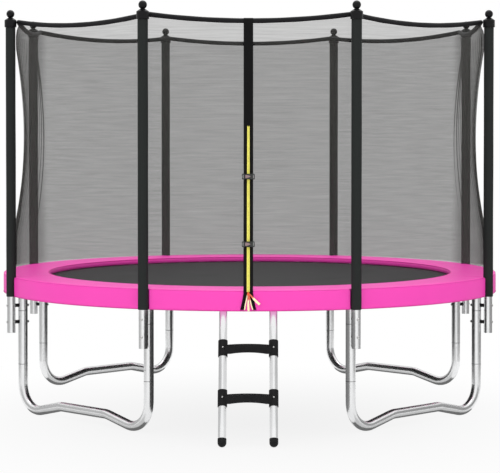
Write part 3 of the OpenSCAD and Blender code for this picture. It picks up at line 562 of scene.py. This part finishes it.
# ---------------------------------------------------------------- safety pad
def pad_ring():
    """Columns of the pad: angles, with more of them where the notches for the poles are."""
    near = [-1.35, -1.24, -1.1, -0.9, -0.65, -0.35, 0, 0.35, 0.65, 0.9, 1.1, 1.24, 1.35]
    notch, steps = near[-1], 34
    out = []
    for k in POST_NOS:
        a0 = post_angle(k)
        out += [a0 + x for x in near]
        out += [a0 + notch + (BAY - 2 * notch) * i / steps for i in range(1, steps)]
    return out


def notch_r(angle, limit):
    """Outermost radius at this angle that stays out of the notches round the foam sleeves."""
    d = (angle + 90) % BAY - BAY / 2      # from the nearest pole, in degrees
    hole = FOAM_R + 0.003
    s = hole ** 2 - (POLE_R * math.sin(rad(d))) ** 2
    if s <= 0:
        return limit
    return min(limit, POLE_R * math.cos(rad(d)) - math.sqrt(s))


def pad_profile(angle):
    """Section of the pad at one angle: up the inner edge, over the top, down the skirt and back inside."""
    out_r = notch_r(angle, PAD_OUT)
    inside = min(PAD_OUT - SKIRT_T, out_r - 0.0075)
    bay_pos = ((angle + 90 - BAY / 2) % BAY) / BAY
    seam = min(bay_pos, 1 - bay_pos) * BAY * PAD_OUT * math.pi / 180    # metres from the nearest radial seam
    dip = 0.0028 * math.exp(-(seam / 0.012) ** 2)
    wob = 0.0007 * math.sin(rad(angle) * 31 + 1) + 0.0005 * math.sin(rad(angle) * 53 + 2)
    low = SKIRT_Z + 0.0008 + 0.0006 * math.sin(rad(angle) * 17)
    top = PAD_TOP - 0.0012
    # the inner edge, from the lip's underside up
    pts = [(PAD_IN + 0.012, PAD_LIP + 0.0006), (PAD_IN + 0.004, PAD_LIP + 0.0012),
           (PAD_IN + 0.0008, PAD_LIP + 0.005), (PAD_IN + 0.0004, PAD_LIP + 0.014),
           (PAD_IN + 0.0006, PAD_LIP + 0.026), (PAD_IN + 0.0030, top - 0.0075),
           (PAD_IN + 0.0100, top - 0.0028 - dip * 0.5)]
    # the slightly crowned top, and the outer edge
    for t in (0.09, 0.2, 0.34, 0.5, 0.66, 0.8, 0.91):
        r = PAD_IN + (out_r - PAD_IN) * t
        pts.append((r, top - 0.0026 + 0.0026 * math.sin(math.pi * t) ** 0.6 - dip))
    pts += [(out_r - 0.0100, top - 0.0022 - dip), (out_r - 0.0040, top - 0.0050 - dip),
            (out_r - 0.0012, top - 0.0110 - dip * 0.5), (out_r - 0.0003, top - 0.0200)]
    # the skirt, down its outer face, round its hem and up inside
    for t in (0.3, 0.5, 0.7, 0.86):
        z = top - 0.02 + (low + 0.008 - top + 0.02) * t
        pts.append((out_r - 0.0004 + wob * t * 0.6 - dip * 0.3, z))
    pts += [(out_r - 0.0008 + wob * 0.6, low + 0.008), (out_r - 0.0024, low + 0.0022),
            (out_r - min(0.006, (out_r - inside) * 0.45), low), (inside + 0.003, low + 0.0006),
            (inside + 0.0006, low + 0.004), (inside, low + 0.03)]
    # the flat underside
    under = PAD_UNDER + 0.0005
    return pts + [(inside, under), (PAD_IN + 0.06, under), (PAD_IN + 0.030, PAD_LIP + 0.006)]


angles = pad_ring()
cover = swept(angles, [pad_profile(a) for a in angles], 1.45)
pad = add_mesh("safety_pad_cover", cover, PAD, replaces=("safety_pad",))
pad.data.materials.append(BACKING)
around = len(pad_profile(0))
for i, poly in enumerate(pad.data.polygons):
    if i % around >= around - 3:     # the last faces of each section: a dark backing cloth under the foam
        poly.material_index = 1


def edge_line(places, z):
    """Closed round edge of the pad at height z, through (angle, r) places."""
    return tube([polar(r, a, z) for a, r in places], 0.0018, 6, closed=True)


# piping along the pad's inner and outer upper edges
inner_edge = edge_line([(a, PAD_IN + 0.0022) for a in range(360)], PAD_TOP - 0.0062)
outer_edge = edge_line([(a, notch_r(a, PAD_OUT) - 0.0030) for a in angles], PAD_TOP - 0.0068)
add_mesh("pad_piping", join([inner_edge, outer_edge]), PIPING)

# turned-up hem along the skirt's lower edge, in a darker pink that is painted shade along that edge
hem = edge_line([(a, notch_r(a, PAD_OUT) - 0.0006) for a in angles], SKIRT_Z + 0.0026)
add_mesh("pad_skirt_hem", hem, SKIRT_EDGE_SHADE)


# ---------------------------------------------------------------- mat, hem and their seams
def mat_dish(r):
    """Height of the mat, which hangs a little towards its middle between the springs' pull."""
    t = r / MAT_R
    return MAT_Z - 0.0004 - 0.0012 * (1 - t * t)


def mat_disc():
    """Closed round sheet: a disc of rings and segments for each side, joined at the edge."""
    rings, segs = 26, 144
    verts, faces, uvs = [], [], []
    for side in (0, 1):
        base = len(verts)
        verts.append(Vector((0, AX, mat_dish(0) - side * MAT_T * 0.7)))
        uvs.append((0, 0))
        for i in range(1, rings + 1):
            r = MAT_R * i / rings
            for j in range(segs):
                p = polar(r, 360 * j / segs, mat_dish(r) - side * MAT_T * 0.7)
                verts.append(p)
                uvs.append((p.x, p.y))
        for j in range(segs):
            tri = (base, base + 1 + j, base + 1 + (j + 1) % segs)
            faces.append(tri if side == 0 else tri[::-1])
        for i in range(rings - 1):
            near, far = base + 1 + i * segs, base + 1 + (i + 1) * segs
            for j in range(segs):
                k = (j + 1) % segs
                quad = (near + j, far + j, far + k, near + k)
                faces.append(quad if side == 0 else quad[::-1])
    under, edge = 1 + rings * segs, 1 + (rings - 1) * segs
    for j in range(segs):
        k = (j + 1) % segs
        faces.append((edge + j, under + edge + j, under + edge + k, edge + k))
    return verts, faces, uvs


mat = add_mesh("mat_fabric", mat_disc(), MAT, body="mat", replaces=("jumping_mat",))


def hem_band():
    """Band of webbing folded round the mat's edge, with two sewn lines along its top."""
    r0, r1, z1, z0 = MAT_R + 0.0003, MAT_R + HEM_W, MAT_Z - 0.0001, MAT_Z - HEM_T
    section = [(r0, z0 + 0.001), (r0, z1 - 0.0008), (r0 + 0.001, z1), (r0 + 0.010, z1 - 0.0005),
               (r0 + 0.020, z1 - 0.0005), (r1 - 0.0012, z1 - 0.0001), (r1, z1 - 0.0014), (r1, z0 + 0.0012),
               (r1 - 0.001, z0), (r0 + 0.001, z0)]
    steps = 256
    return swept([360 * i / steps for i in range(steps)], [section] * steps, 1.28)


add_mesh("mat_edge_webbing", hem_band(), HEM, body="mat", replaces=("mat_hem",))


# ---------------------------------------------------------------- springs
def coil_spring(i):
    """One extension spring: hook through the V-ring, close coils, cone ends and a bent end in the ring."""
    a = -90 + (i + 0.5) * 360 / SPRINGS
    wire = 0.0018
    r_mean = 0.011 - wire
    z0 = 0.7932
    hook_mid, hook_mean = 1.3150, 0.00553     # the hook's middle, and the mean radius of its bend
    start, end, bend = hook_mid + 0.020, 1.4530, 1.4833

    def bent(x, d):
        """Point of a hook's bend about x, at d degrees."""
        return x + hook_mean * math.cos(rad(d)), 0, z0 - hook_mean + hook_mean * math.sin(rad(d))

    pts = [bent(hook_mid, d) for d in (310, 280, 250, 220, 190, 160, 130, 105)]
    pts += [(hook_mid + 0.004, 0, z0), (start - 0.006, 0, z0)]
    turns, per = 26, 9
    for j in range(turns * per + 1):
        t = j / (turns * per)
        c = 2 * math.pi * turns * t
        grow = min(1, t * turns / 1.6, (1 - t) * turns / 1.6)
        r = r_mean * (0.12 + 0.88 * grow)
        pts.append((start + (end - start) * t, r * math.sin(c), z0 + r * math.cos(c)))
    pts += [(end + 0.006, 0, z0), (bend, 0, z0)] + [bent(bend, d) for d in (60, 30, 0)]
    ca, sa = math.cos(rad(a)), math.sin(rad(a))
    path = [Vector((x * ca - y * sa, AX + x * sa + y * ca, z)) for x, y, z in pts]
    o = add_mesh(f"spring_{i + 1}", tube(path, wire, 6), SPRING, replaces=("springs",),
                 ride=False)
    tuple(polar(1.312, a, z0))
    tuple(polar(1.484, a, z0))
    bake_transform(o)


for i in range(SPRINGS):
    coil_spring(i)


# ---------------------------------------------------------------- enclosure net
def corner_r(s):
    """Radius of the net beside a pole: held close to it at both ends, pulled in to a waist between them."""
    z = NET_FOOT_Z + (NET_TOP_Z - NET_FOOT_Z) * s
    u = min(1, abs(z - WAIST_Z) / WAIST_HALF)
    held = NET_CORNER_R - (NET_CORNER_R - BELT_RING) * max(0, (z - NET_TIE_Z) / (NET_TOP_Z - NET_TIE_Z))
    return WAIST_R + (held - WAIST_R) * u * u


def middle_r(s, knee):
    """Radius of the net in mid bay: a curve from the foot to the knee, then straight to the belt."""
    if s < knee:
        return NET_KNEE_R + (NET_FOOT_R - NET_KNEE_R) * (1 - s / knee) ** 1.6
    return NET_KNEE_R + (NET_TOP_MID_R - NET_KNEE_R) * (s - knee) / (1 - knee)


KNEE_AT = (NET_KNEE_Z - NET_FOOT_Z) / (NET_TOP_MID_Z - NET_FOOT_Z)
SIDE_BAYS = (2, 6)               # the net is fuller where it hangs at the object's two sides
BAY_W = 1.19                     # metres of net from pole to pole
HALF_BAY, GATHER_REACH = 0.58, 0.12


def net_sheet():
    """The net as one round sheet: rows from foot to belt, with gathers beside the poles."""
    rows, per = 44, 144
    total = per * POSTS
    h = rad(BAY / 2)
    verts, uvs = [], []
    for i in range(rows + 1):
        s = i / rows
        cr, mr = corner_r(s), middle_r(s, KNEE_AT)
        edge_x = cr * math.cos(h)
        for c in range(total):
            k, q = divmod(c, per)
            u = 2 * q / per - 1
            x = edge_x + (mr - edge_x) * (1 - u * u)
            y = cr * math.sin(h) * u
            top = NET_TOP_Z - BELT_SAG * (1 - u * u)
            z = NET_FOOT_Z + (top - NET_FOOT_Z) * s
            # gathers: small upright ripples, deeper beside the poles, that die out at the belt and the pad
            near = math.exp(-((1 - abs(u)) * HALF_BAY / GATHER_REACH) ** 2)
            fade = min(1, s / 0.05) * min(1, (1 - s) / 0.04)
            full = 0.0015 if k in SIDE_BAYS else 0.0
            fold = math.sin(2 * math.pi * q / 9 + 0.6 * math.sin(5 * s + k))
            x += (0.0022 + full + 0.0040 * near) * fold * fade - 0.001
            cw, sw = math.cos(rad(-90 + k * BAY)), math.sin(rad(-90 + k * BAY))
            verts.append(Vector((x * cw - y * sw, AX + x * sw + y * cw, z)))
            uvs.append((BAY_W * (k + q / per), z))
    return verts, grid_faces(rows, total, wrap=True), uvs


net = add_mesh("net_mesh", net_sheet(), NET, replaces=("enclosure_net",))
net.visible_shadow = False       # what so fine a mesh takes of the soft light is left out


# ---------------------------------------------------------------- top belt
def belt_point(k, u):
    """Point of the belt's middle line at share u of the way from pole k to the next one."""
    p = polar(BELT_RING, post_angle(k), 0).lerp(polar(BELT_RING, post_angle(k + 1), 0), u)
    return Vector((p.x, p.y, BELT_Z - BELT_SAG * 4 * u * (1 - u)))


path = [belt_point(k, i / 40) for k in POST_NOS for i in range(40)]
gathers = [BELT_R * (0.97 + 0.02 * math.sin(i * 0.9)) for i in range(len(path))]
sleeve = tube(path, gathers, 16, closed=True)
belt = add_mesh("top_belt_sleeve", sleeve, BELT, replaces=("top_belt",))


# ---------------------------------------------------------------- door: webbing, zip, slider and ribbons
def between(a, b, t):
    """(r, z) at share t of the way from a to b."""
    return a[0] + (b[0] - a[0]) * t, a[1] + (b[1] - a[1]) * t


def strip_line():
    """Back face of the webbing as (r, z) from the pad's edge up to the belt."""
    foot, knee, top = (DOOR_FOOT_R, DOOR_FOOT_Z), (DOOR_KNEE_R, DOOR_KNEE_Z), (DOOR_TOP_R, DOOR_TOP_Z)
    pts = [(DOOR_FOOT_R, 0.812), (DOOR_FOOT_R, DOOR_FOOT_Z - 0.002)]
    pts += [between(foot, knee, i / 40) for i in range(41)]
    return pts + [between(knee, top, i / 18) for i in range(1, 19)]


def strip_band():
    """The strip itself, with rounded edges and a shallow channel in front where the zip lies."""
    line = strip_line()
    lift = {1: 0.35, 0.985: 0.75, 0.95: 1.0, 0.7: 1.0, 0.42: 1.0, 0.36: 0.82}      # thickness by place across

    def point(i, x):
        r, z = line[i]
        wx = x * DOOR_W / 2 * (1 + 0.004 * math.sin(i * 0.8))
        return door_point(wx, r + DOOR_T * lift[abs(x)], z), door_point(wx, r, z), (wx, z)

    return band(len(line) - 1, [-x for x in lift] + list(lift)[::-1], point)


SPLIT_TOP_Z, SPLIT_END_Z = 0.8138, 0.7206
SPLIT_TOP_X, SPLIT_END_X, SPLIT_W = 0.027, 0.045, 0.0205


def split_tape(side):
    """One of the two tapes at the strip's foot, that spread over the pad's skirt."""
    rows = 14

    def point(i, x):
        t = i / rows
        z = SPLIT_TOP_Z + (SPLIT_END_Z - SPLIT_TOP_Z) * t
        outer = side * (SPLIT_TOP_X + (SPLIT_END_X - SPLIT_TOP_X) * t ** 1.25)
        inner = outer - side * SPLIT_W
        wx = outer + (inner - outer) * x
        sway = 0.0012 * math.sin(t * 5 + side)
        r = DOOR_FOOT_R + DOOR_T * (0.4 if x in (0, 1) else 1.0) + abs(sway) * 0.4
        return door_point(wx, r, z), door_point(wx, DOOR_FOOT_R, z), (wx, z)

    return band(rows, (0, 0.05, 0.5, 0.95, 1), point, side > 0)


webbing = join([strip_band(), split_tape(-1), split_tape(1)])
strip = add_mesh("door_webbing", webbing, WEB, replaces=("door_strip",))

# zip: two tapes with moulded teeth that mesh along the middle
ZIP_LEN, ZIP_FOOT_W, ZIP_TOP_W = 0.940, 0.0172, 0.0130
TAPE_BACK, TAPE_T, TAPE_GAP = DOOR_T + 0.0001, 0.0007, 0.0012
TEETH_BACK, TEETH_FRONT, TOOTH_PITCH = TAPE_BACK + 0.0006, TAPE_BACK + 0.0014, 0.0042


def zip_tape(side):
    """One tape of the zip, a little narrower at its top."""
    rows = 32

    def point(i, x):
        s = ZIP_LEN * i / rows
        half = ZIP_FOOT_W / 2 + (ZIP_TOP_W - ZIP_FOOT_W) / 2 * i / rows
        wx = side * (TAPE_GAP + x * (half - TAPE_GAP))
        return zip_point(s, wx, TAPE_BACK + TAPE_T), zip_point(s, wx, TAPE_BACK), (wx, s)

    return band(rows, (0.0, 0.25, 0.75, 1.0), point, side < 0)


def zip_tooth(i):
    """Tooth number i from the foot; the teeth stand on the two tapes by turns."""
    s = 0.004 + i * TOOTH_PITCH
    side = 1 if i % 2 else -1
    root, tip = side * 0.0052, -side * 0.0012
    half = TOOTH_PITCH * 0.34
    verts = []
    for x, w in ((root, 0.8), ((root + tip) / 2, 0.75), (tip, 1.0)):
        for out, t in ((TEETH_BACK, 1.0), (TEETH_FRONT, 0.8)):
            verts.append(zip_point(s - half * w * t, x, out))
            verts.append(zip_point(s + half * w * t, x, out))
    # each of the three stations holds: low/back, high/back, low/front, high/front
    faces = []
    for a, b in ((0, 4), (4, 8)):
        faces += [(a + m, a + n, b + n, b + m) for m, n in ((0, 1), (1, 3), (3, 2), (2, 0))]
    faces += [(0, 2, 3, 1), (8, 9, 11, 10)]
    return verts, faces, [(0, 0)] * 12


add_mesh("zip_tape", join([zip_tape(-1), zip_tape(1)]), ZIPTAPE, replaces=("zip_chain",))
teeth = join([zip_tooth(i) for i in range(int(ZIP_LEN / TOOTH_PITCH) - 1)])
add_mesh("zip_teeth", teeth, ZIP, smooth=False)


def extruded(outline, at, depth, bevel):
    """Solid from an outline of (across, s) points, from at to at + depth over the webbing's back face, with
    chamfered edges. Its UVs are the outline's own coordinates."""
    n = len(outline)
    cx = sum(p[0] for p in outline) / n
    cs = sum(p[1] for p in outline) / n

    def inset(p, d):
        vx, vs = p[0] - cx, p[1] - cs
        ln = math.hypot(vx, vs) or 1
        return (p[0] - vx / ln * d, p[1] - vs / ln * d)

    layers = [(at, bevel), (at + bevel, 0), (at + depth - bevel, 0), (at + depth, bevel)]
    verts, uvs = [], []
    for out, d in layers:
        for p in outline:
            q = inset(p, d)
            verts.append(zip_point(q[1], q[0], out))
            uvs.append(q)
    ends = [tuple(reversed(range(n))), tuple(3 * n + j for j in range(n))]
    return verts, grid_faces(3, n, wrap=True) + ends, uvs


# slider: shield-shaped body, narrow end up, with a bridge over it
SLIDER_BACK = TAPE_BACK + 0.0018
flank = [(0.0022, 0.0026), (0.0035, 0.0010), (0.0048, -0.0060), (0.0070, -0.0150), (0.0066, -0.0195)]
shield = [(-x, s) for x, s in flank] + [(0.0, -0.0207)] + flank[::-1]
bridge = [(-0.0019, 0.0005), (0.0019, 0.0005), (0.0024, -0.0178), (-0.0024, -0.0178)]
slider = join([extruded(shield, SLIDER_BACK, 0.0030, 0.0007),
               extruded(bridge, SLIDER_BACK + 0.0029, 0.0026, 0.0008)])
add_mesh("zip_slider_body", slider, PULL, body="zip_pull", replaces=("zip_slider",),
         smooth=False)

# four ribbons tied to the slider: name, top and end as (across, z), widths, stand-off, curl, material
RIBBON_R, RIBBON_T = DOOR_FOOT_R + 0.0043, 0.0004
ribbons = [
    ("ribbon_left", (-0.0040, 0.8120), (-0.0205, 0.7225), 0.0045, 0.0070, 0.0000, 0.2, RIBBON),
    ("ribbon_middle", (0.0005, 0.8130), (0.0015, 0.7150), 0.0060, 0.0125, 0.0010, 0.2, RIBBON_CORAL),
    ("ribbon_right", (0.0020, 0.8110), (0.0250, 0.7225), 0.0050, 0.0065, 0.0005, 0.2, RIBBON_CORAL),
    ("ribbon_out", (0.0020, 0.8140), (0.0625, 0.7520), 0.0070, 0.0135, 0.0015, 0.4, RIBBON_CORAL),
]


def ribbon(name, start, end, w0, w1, out, curl, material):
    """Flat ribbon from the slider, with a slight wave along it and a crown across it."""
    rows = 16
    d = Vector((end[0] - start[0], end[1] - start[1]))
    side = Vector((d.y, -d.x)).normalized()

    def point(i, x):
        t = i / rows
        c = Vector(start).lerp(Vector(end), t)
        c.x += 0.0012 * math.sin(6.3 * t + curl * 3) * t
        w = w0 + (w1 - w0) * min(1, t * 1.4)
        # it keeps to the leaning zip's line, so that it clears the door strip all the way up
        r = RIBBON_R + out * min(1, 0.4 + t * 3) + curl * 0.002 * math.sin(math.pi * t)
        r += (DOOR_FOOT_Z - c.y) * math.tan(LEAN)
        p = c + side * w * x
        bow = 0.0001 * (1 - abs(x) * 2)
        return door_point(p.x, r + RIBBON_T + bow, p.y), door_point(p.x, r + bow, p.y), (x * w, t * d.length)

    o = add_mesh(name, band(rows, (-0.5, 0, 0.5), point), material, body="zip_pull",
                 replaces=("zip_ribbons",))
    width = max(w0, w1, 0.01)


for spec in ribbons:
    ribbon(*spec)


# ---------------------------------------------------------------- buckles
dress(["buckle_housings", "buckle_clip_lower", "buckle_clip_upper"], BUCKLE)
BUCKLE_FRONT = 0.0199             # the buckles' front face over the webbing's back face
tongue = [(-0.0170, 0.0060), (-0.0140, 0.0095), (-0.0060, 0.0080), (0.0100, 0.0030), (0.0115, 0.0),
          (0.0100, -0.0030), (-0.0060, -0.0085), (-0.0145, -0.0105), (-0.0170, -0.0070)]
for rise, level in ((0.267, "lower"), (0.649, "upper")):      # metres up the zip
    v, f, u = extruded([(x, rise + s) for x, s in tongue], BUCKLE_FRONT, 0.0008, 0.0003)
    part = v, f, [(x, s - rise) for x, s in u]
    add_mesh(f"buckle_tongue_{level}", part, BUCKLE_PIN, body=f"{level}_clip",
             smooth=False)


# ---------------------------------------------------------------- floor, lights, camera
def stage_plane(name, verts, material, glossy_only=False):
    """One flat face of the studio, which is no part of the object."""
    me = bpy.data.meshes.new(name)
    me.from_pydata(verts, [], [tuple(range(len(verts)))])
    me.materials.append(material)
    o = bpy.data.objects.new(name, me)
    bpy.context.scene.collection.objects.link(o)
    if glossy_only:
        o.visible_camera = o.visible_diffuse = o.visible_shadow = o.visible_transmission = False
    return o


def seen_ray(n, l):
    """1 for rays from the camera, and for those that bounce off gloss or pass through glass."""
    path = n.new("ShaderNodeLightPath")
    reflected = math_node(n, l, "MAXIMUM", path.outputs["Is Glossy Ray"], path.outputs["Is Transmission Ray"])
    return math_node(n, l, "MAXIMUM", path.outputs["Is Camera Ray"], reflected)


def floor_material():
    """White studio floor: it lights the object as a pale floor does, and is seen to fade to the backdrop."""
    m, n, l, s = node_tree("StudioFloor", (0.93, 0.93, 0.935), 0.9, specular=0.0)
    away = n.new("ShaderNodeVectorMath")
    away.operation = "DISTANCE"
    away.inputs[1].default_value = FADE_CENTRE
    l.new(coords(n), away.inputs[0])
    fade = smooth_step(n, l, away.outputs["Value"], FADE_NEAR, FADE_FAR)
    glow = n.new("ShaderNodeEmission")
    glow.inputs["Color"].default_value = (1, 1, 1, 1)
    l.new(span(n, l, fade, FLOOR_GLOW, 1.0), glow.inputs["Strength"])
    mix = n.new("ShaderNodeMixShader")
    l.new(times(n, l, seen_ray(n, l), span(n, l, fade, GLOW_SHARE, 1.0)), mix.inputs["Fac"])
    l.new(s.outputs["BSDF"], mix.inputs[1])
    l.new(glow.outputs["Emission"], mix.inputs[2])
    l.new(mix.outputs["Shader"], n["Material Output"].inputs["Surface"])
    return m


FLOOR_HALF, FLOOR_Z = 60.0, -0.0008
FLOOR_GLOW, GLOW_SHARE, FADE_NEAR, FADE_FAR = 0.90, 0.93, -0.5, 3.2
FADE_CENTRE = (0, -0.95, 0)
floor = [(x * FLOOR_HALF, y * FLOOR_HALF, FLOOR_Z) for x, y in ((-1, -1), (1, -1), (1, 1), (-1, 1))]
stage_plane("Floor", floor, floor_material())


def flag_material(name, stops, axis):
    """Card's own light; its tone, a grey or a colour, goes along one axis, as (metres, tone) pairs."""
    m = bpy.data.materials.new(name)
    m.use_nodes = True
    n, l = m.node_tree.nodes, m.node_tree.links
    n.remove(n["Principled BSDF"])
    first, last = stops[0][0], stops[-1][0]
    place = span(n, l, xyz(n, l, coords(n))[axis], 0, 1, first, last)
    shares = [((at - first) / (last - first), tone if isinstance(tone, tuple) else (tone,) * 3)
              for at, tone in stops]
    tones = ramp(n, l, place, shares)
    card = n.new("ShaderNodeEmission")
    l.new(tones, card.inputs["Color"])
    l.new(card.outputs["Emission"], n["Material Output"].inputs["Surface"])
    return m


def card(name, x0, y0, x1, y1, low, high, stops, axis):
    """Upright card between two points of the floor plan, that only gloss sees."""
    corners = [(x0, y0, low), (x1, y1, low), (x1, y1, high), (x0, y0, high)]
    stage_plane(name, corners, flag_material(name + "Grey", stops, axis), glossy_only=True)


# cards that only gloss sees: grey ones at both sides and behind, a black one under the mat that is painted
# shade of the space beneath it, and between the ladder and each front leg a pair, dark towards the leg and
# pale towards the ladder
SIDE_X, FRONT_Y, BACK_Y, WALL_H = 2.9, -4.5, 3.4, 1.5
card("CardRight", SIDE_X, FRONT_Y, SIDE_X, BACK_Y, 0, WALL_H,
     [(FRONT_Y, 0.7), (-2.9, 0.5), (-1, 0.3), (BACK_Y, 0.4)], "Y")
card("CardLeft", -SIDE_X, FRONT_Y, -SIDE_X, BACK_Y, 0, WALL_H,
     [(FRONT_Y, 0.8), (-2.9, 0.62), (-1, 0.5), (BACK_Y, 0.5)], "Y")
card("CardBack", -SIDE_X, BACK_Y, SIDE_X, BACK_Y, 0, WALL_H, [(-3, 0.5), (0, 0.5), (3, 0.45)], "X")
LOW_Z, HIGH_Z, NEAR_Y, FAR_Y = 0.01, 0.70, -1.75, -1.0
# painted shade of the space under the mat, which the legs' inner sides mirror
card("CardUnderMatShade", 0, -1.2, 0, 1.6, LOW_Z, HIGH_Z, [(-1, 0.02), (1, 0.04)], "Y")
for side, tag, leg_tones in ((-1, "Left", (0.10, 0.02)), (1, "Right", (0.34, 0.14))):
    for what, x, tones in (("Leg", side * 0.36, leg_tones), ("Ladder", side * 0.35, (0.6, 0.45))):
        card(f"Card{what}{tag}", x, NEAR_Y, x, FAR_Y, LOW_Z, HIGH_Z, list(zip((NEAR_Y, FAR_Y), tones)), "Y")

# on the floor under each bent leg a grey one, painted shade of the floor round the leg, and a dark one in its
# middle, painted shadow of the leg itself; its lower side mirrors both
for k in (1, 3, 5, 7):
    a, b = polar(RING_R, post_angle(k), 0), polar(RING_R, post_angle(k + 1), 0)
    away = ((a + b) / 2 - Vector((0, AX, 0))).normalized()
    # a grey card of painted floor shade, and a narrow dark one of painted leg shadow
    for tag, half, z, tone in (("FloorShade", 0.26, 0.0002, 0.60), ("LegShadow", 0.045, 0.0004, 0.16)):
        corners = [q + away * s * half + Vector((0, 0, z)) for q, s in ((a, -1), (b, -1), (b, 1), (a, 1))]
        flat = flag_material(f"CardFoot{tag}{k}Grey", [(-2.0, tone), (2.0, tone)], "X")
        stage_plane(f"CardFoot{tag}{k}", corners, flat, glossy_only=True)

# between the ladder's rails a pale one, and a pink one right under the skirt, a painted reflection of the lit
# skirt, which the leaning rails mirror
card("CardRails", -0.012, NEAR_Y, -0.012, -0.85, LOW_Z, 0.705, [(NEAR_Y, 0.8), (-0.85, 0.65)], "Y")
REFLECTION_Z, REFLECTION_HALF, REFLECTION_FRONT, REFLECTION_BACK = 0.709, 0.32, -1.45, -1.30
# painted reflection of the lit skirt: white in front, then pink under the skirt
skirt_reflection = flag_material("CardSkirtReflection", [(REFLECTION_FRONT, 1.0), (-1.376, 1.0), (-1.354, (0.86, 0.42, 0.70)),
                                        (REFLECTION_BACK, (0.80, 0.20, 0.52))], "Y")
corners = [(-REFLECTION_HALF, REFLECTION_FRONT, REFLECTION_Z), (REFLECTION_HALF, REFLECTION_FRONT, REFLECTION_Z),
           (REFLECTION_HALF, REFLECTION_BACK, REFLECTION_Z), (-REFLECTION_HALF, REFLECTION_BACK, REFLECTION_Z)]
stage_plane("CardSkirt", corners, skirt_reflection, glossy_only=True)

# the backdrop: white where it is seen or mirrored, a little weaker as a light
BACKDROP_LIGHT = 0.72
world = bpy.data.worlds.new("Studio")
bpy.context.scene.world = world
world.use_nodes = True
wn, wl = world.node_tree.nodes, world.node_tree.links
wn["Background"].inputs["Color"].default_value = (1, 1, 1, 1)
wl.new(span(wn, wl, seen_ray(wn, wl), BACKDROP_LIGHT, 1.0), wn["Background"].inputs["Strength"])


def area(name, location, target, size, power, mirrored):
    """Round soft light; mirrored says whether gloss shows it."""
    light = bpy.data.lights.new(name, "AREA")
    light.shape = "DISK"
    light.size = size
    light.energy = power
    o = bpy.data.objects.new(name, light)
    bpy.context.scene.collection.objects.link(o)
    o.location = location
    o.rotation_euler = (Vector(target) - Vector(location)).to_track_quat("-Z", "Y").to_euler()
    o.visible_glossy = mirrored


area("KeyLight", (-4.5, -7.5, 6.5), (0, 0.2, 1.0), 9.0, 260, False)
area("FillLight", (5.5, -6.0, 3.5), (0, 0.2, 0.8), 6.5, 90, False)
area("TopLight", (0, 0.5, 7.5), (0, 0.2, 0.8), 8.0, 350, True)

# camera: found from the places of the poles and legs in the photo
CAM_BACK, CAM_Z, CAM_DOWN = 12.09, 1.718, 1.4      # metres from the ring's axis, metres up, degrees down
cam_data = bpy.data.cameras.new("Camera")
cam = bpy.data.objects.new("Camera", cam_data)
bpy.context.scene.collection.objects.link(cam)
cam.location = (0.0, AX - CAM_BACK, CAM_Z)
cam.rotation_euler = (rad(90 - CAM_DOWN), 0, 0)
cam_data.lens = 136.2
cam_data.shift_x, cam_data.shift_y = 0.0006, -0.1184
cam_data.sensor_width = 36
cam_data.clip_end = 200
bpy.context.scene.camera = cam
bpy.context.scene.view_settings.view_transform = "Standard"
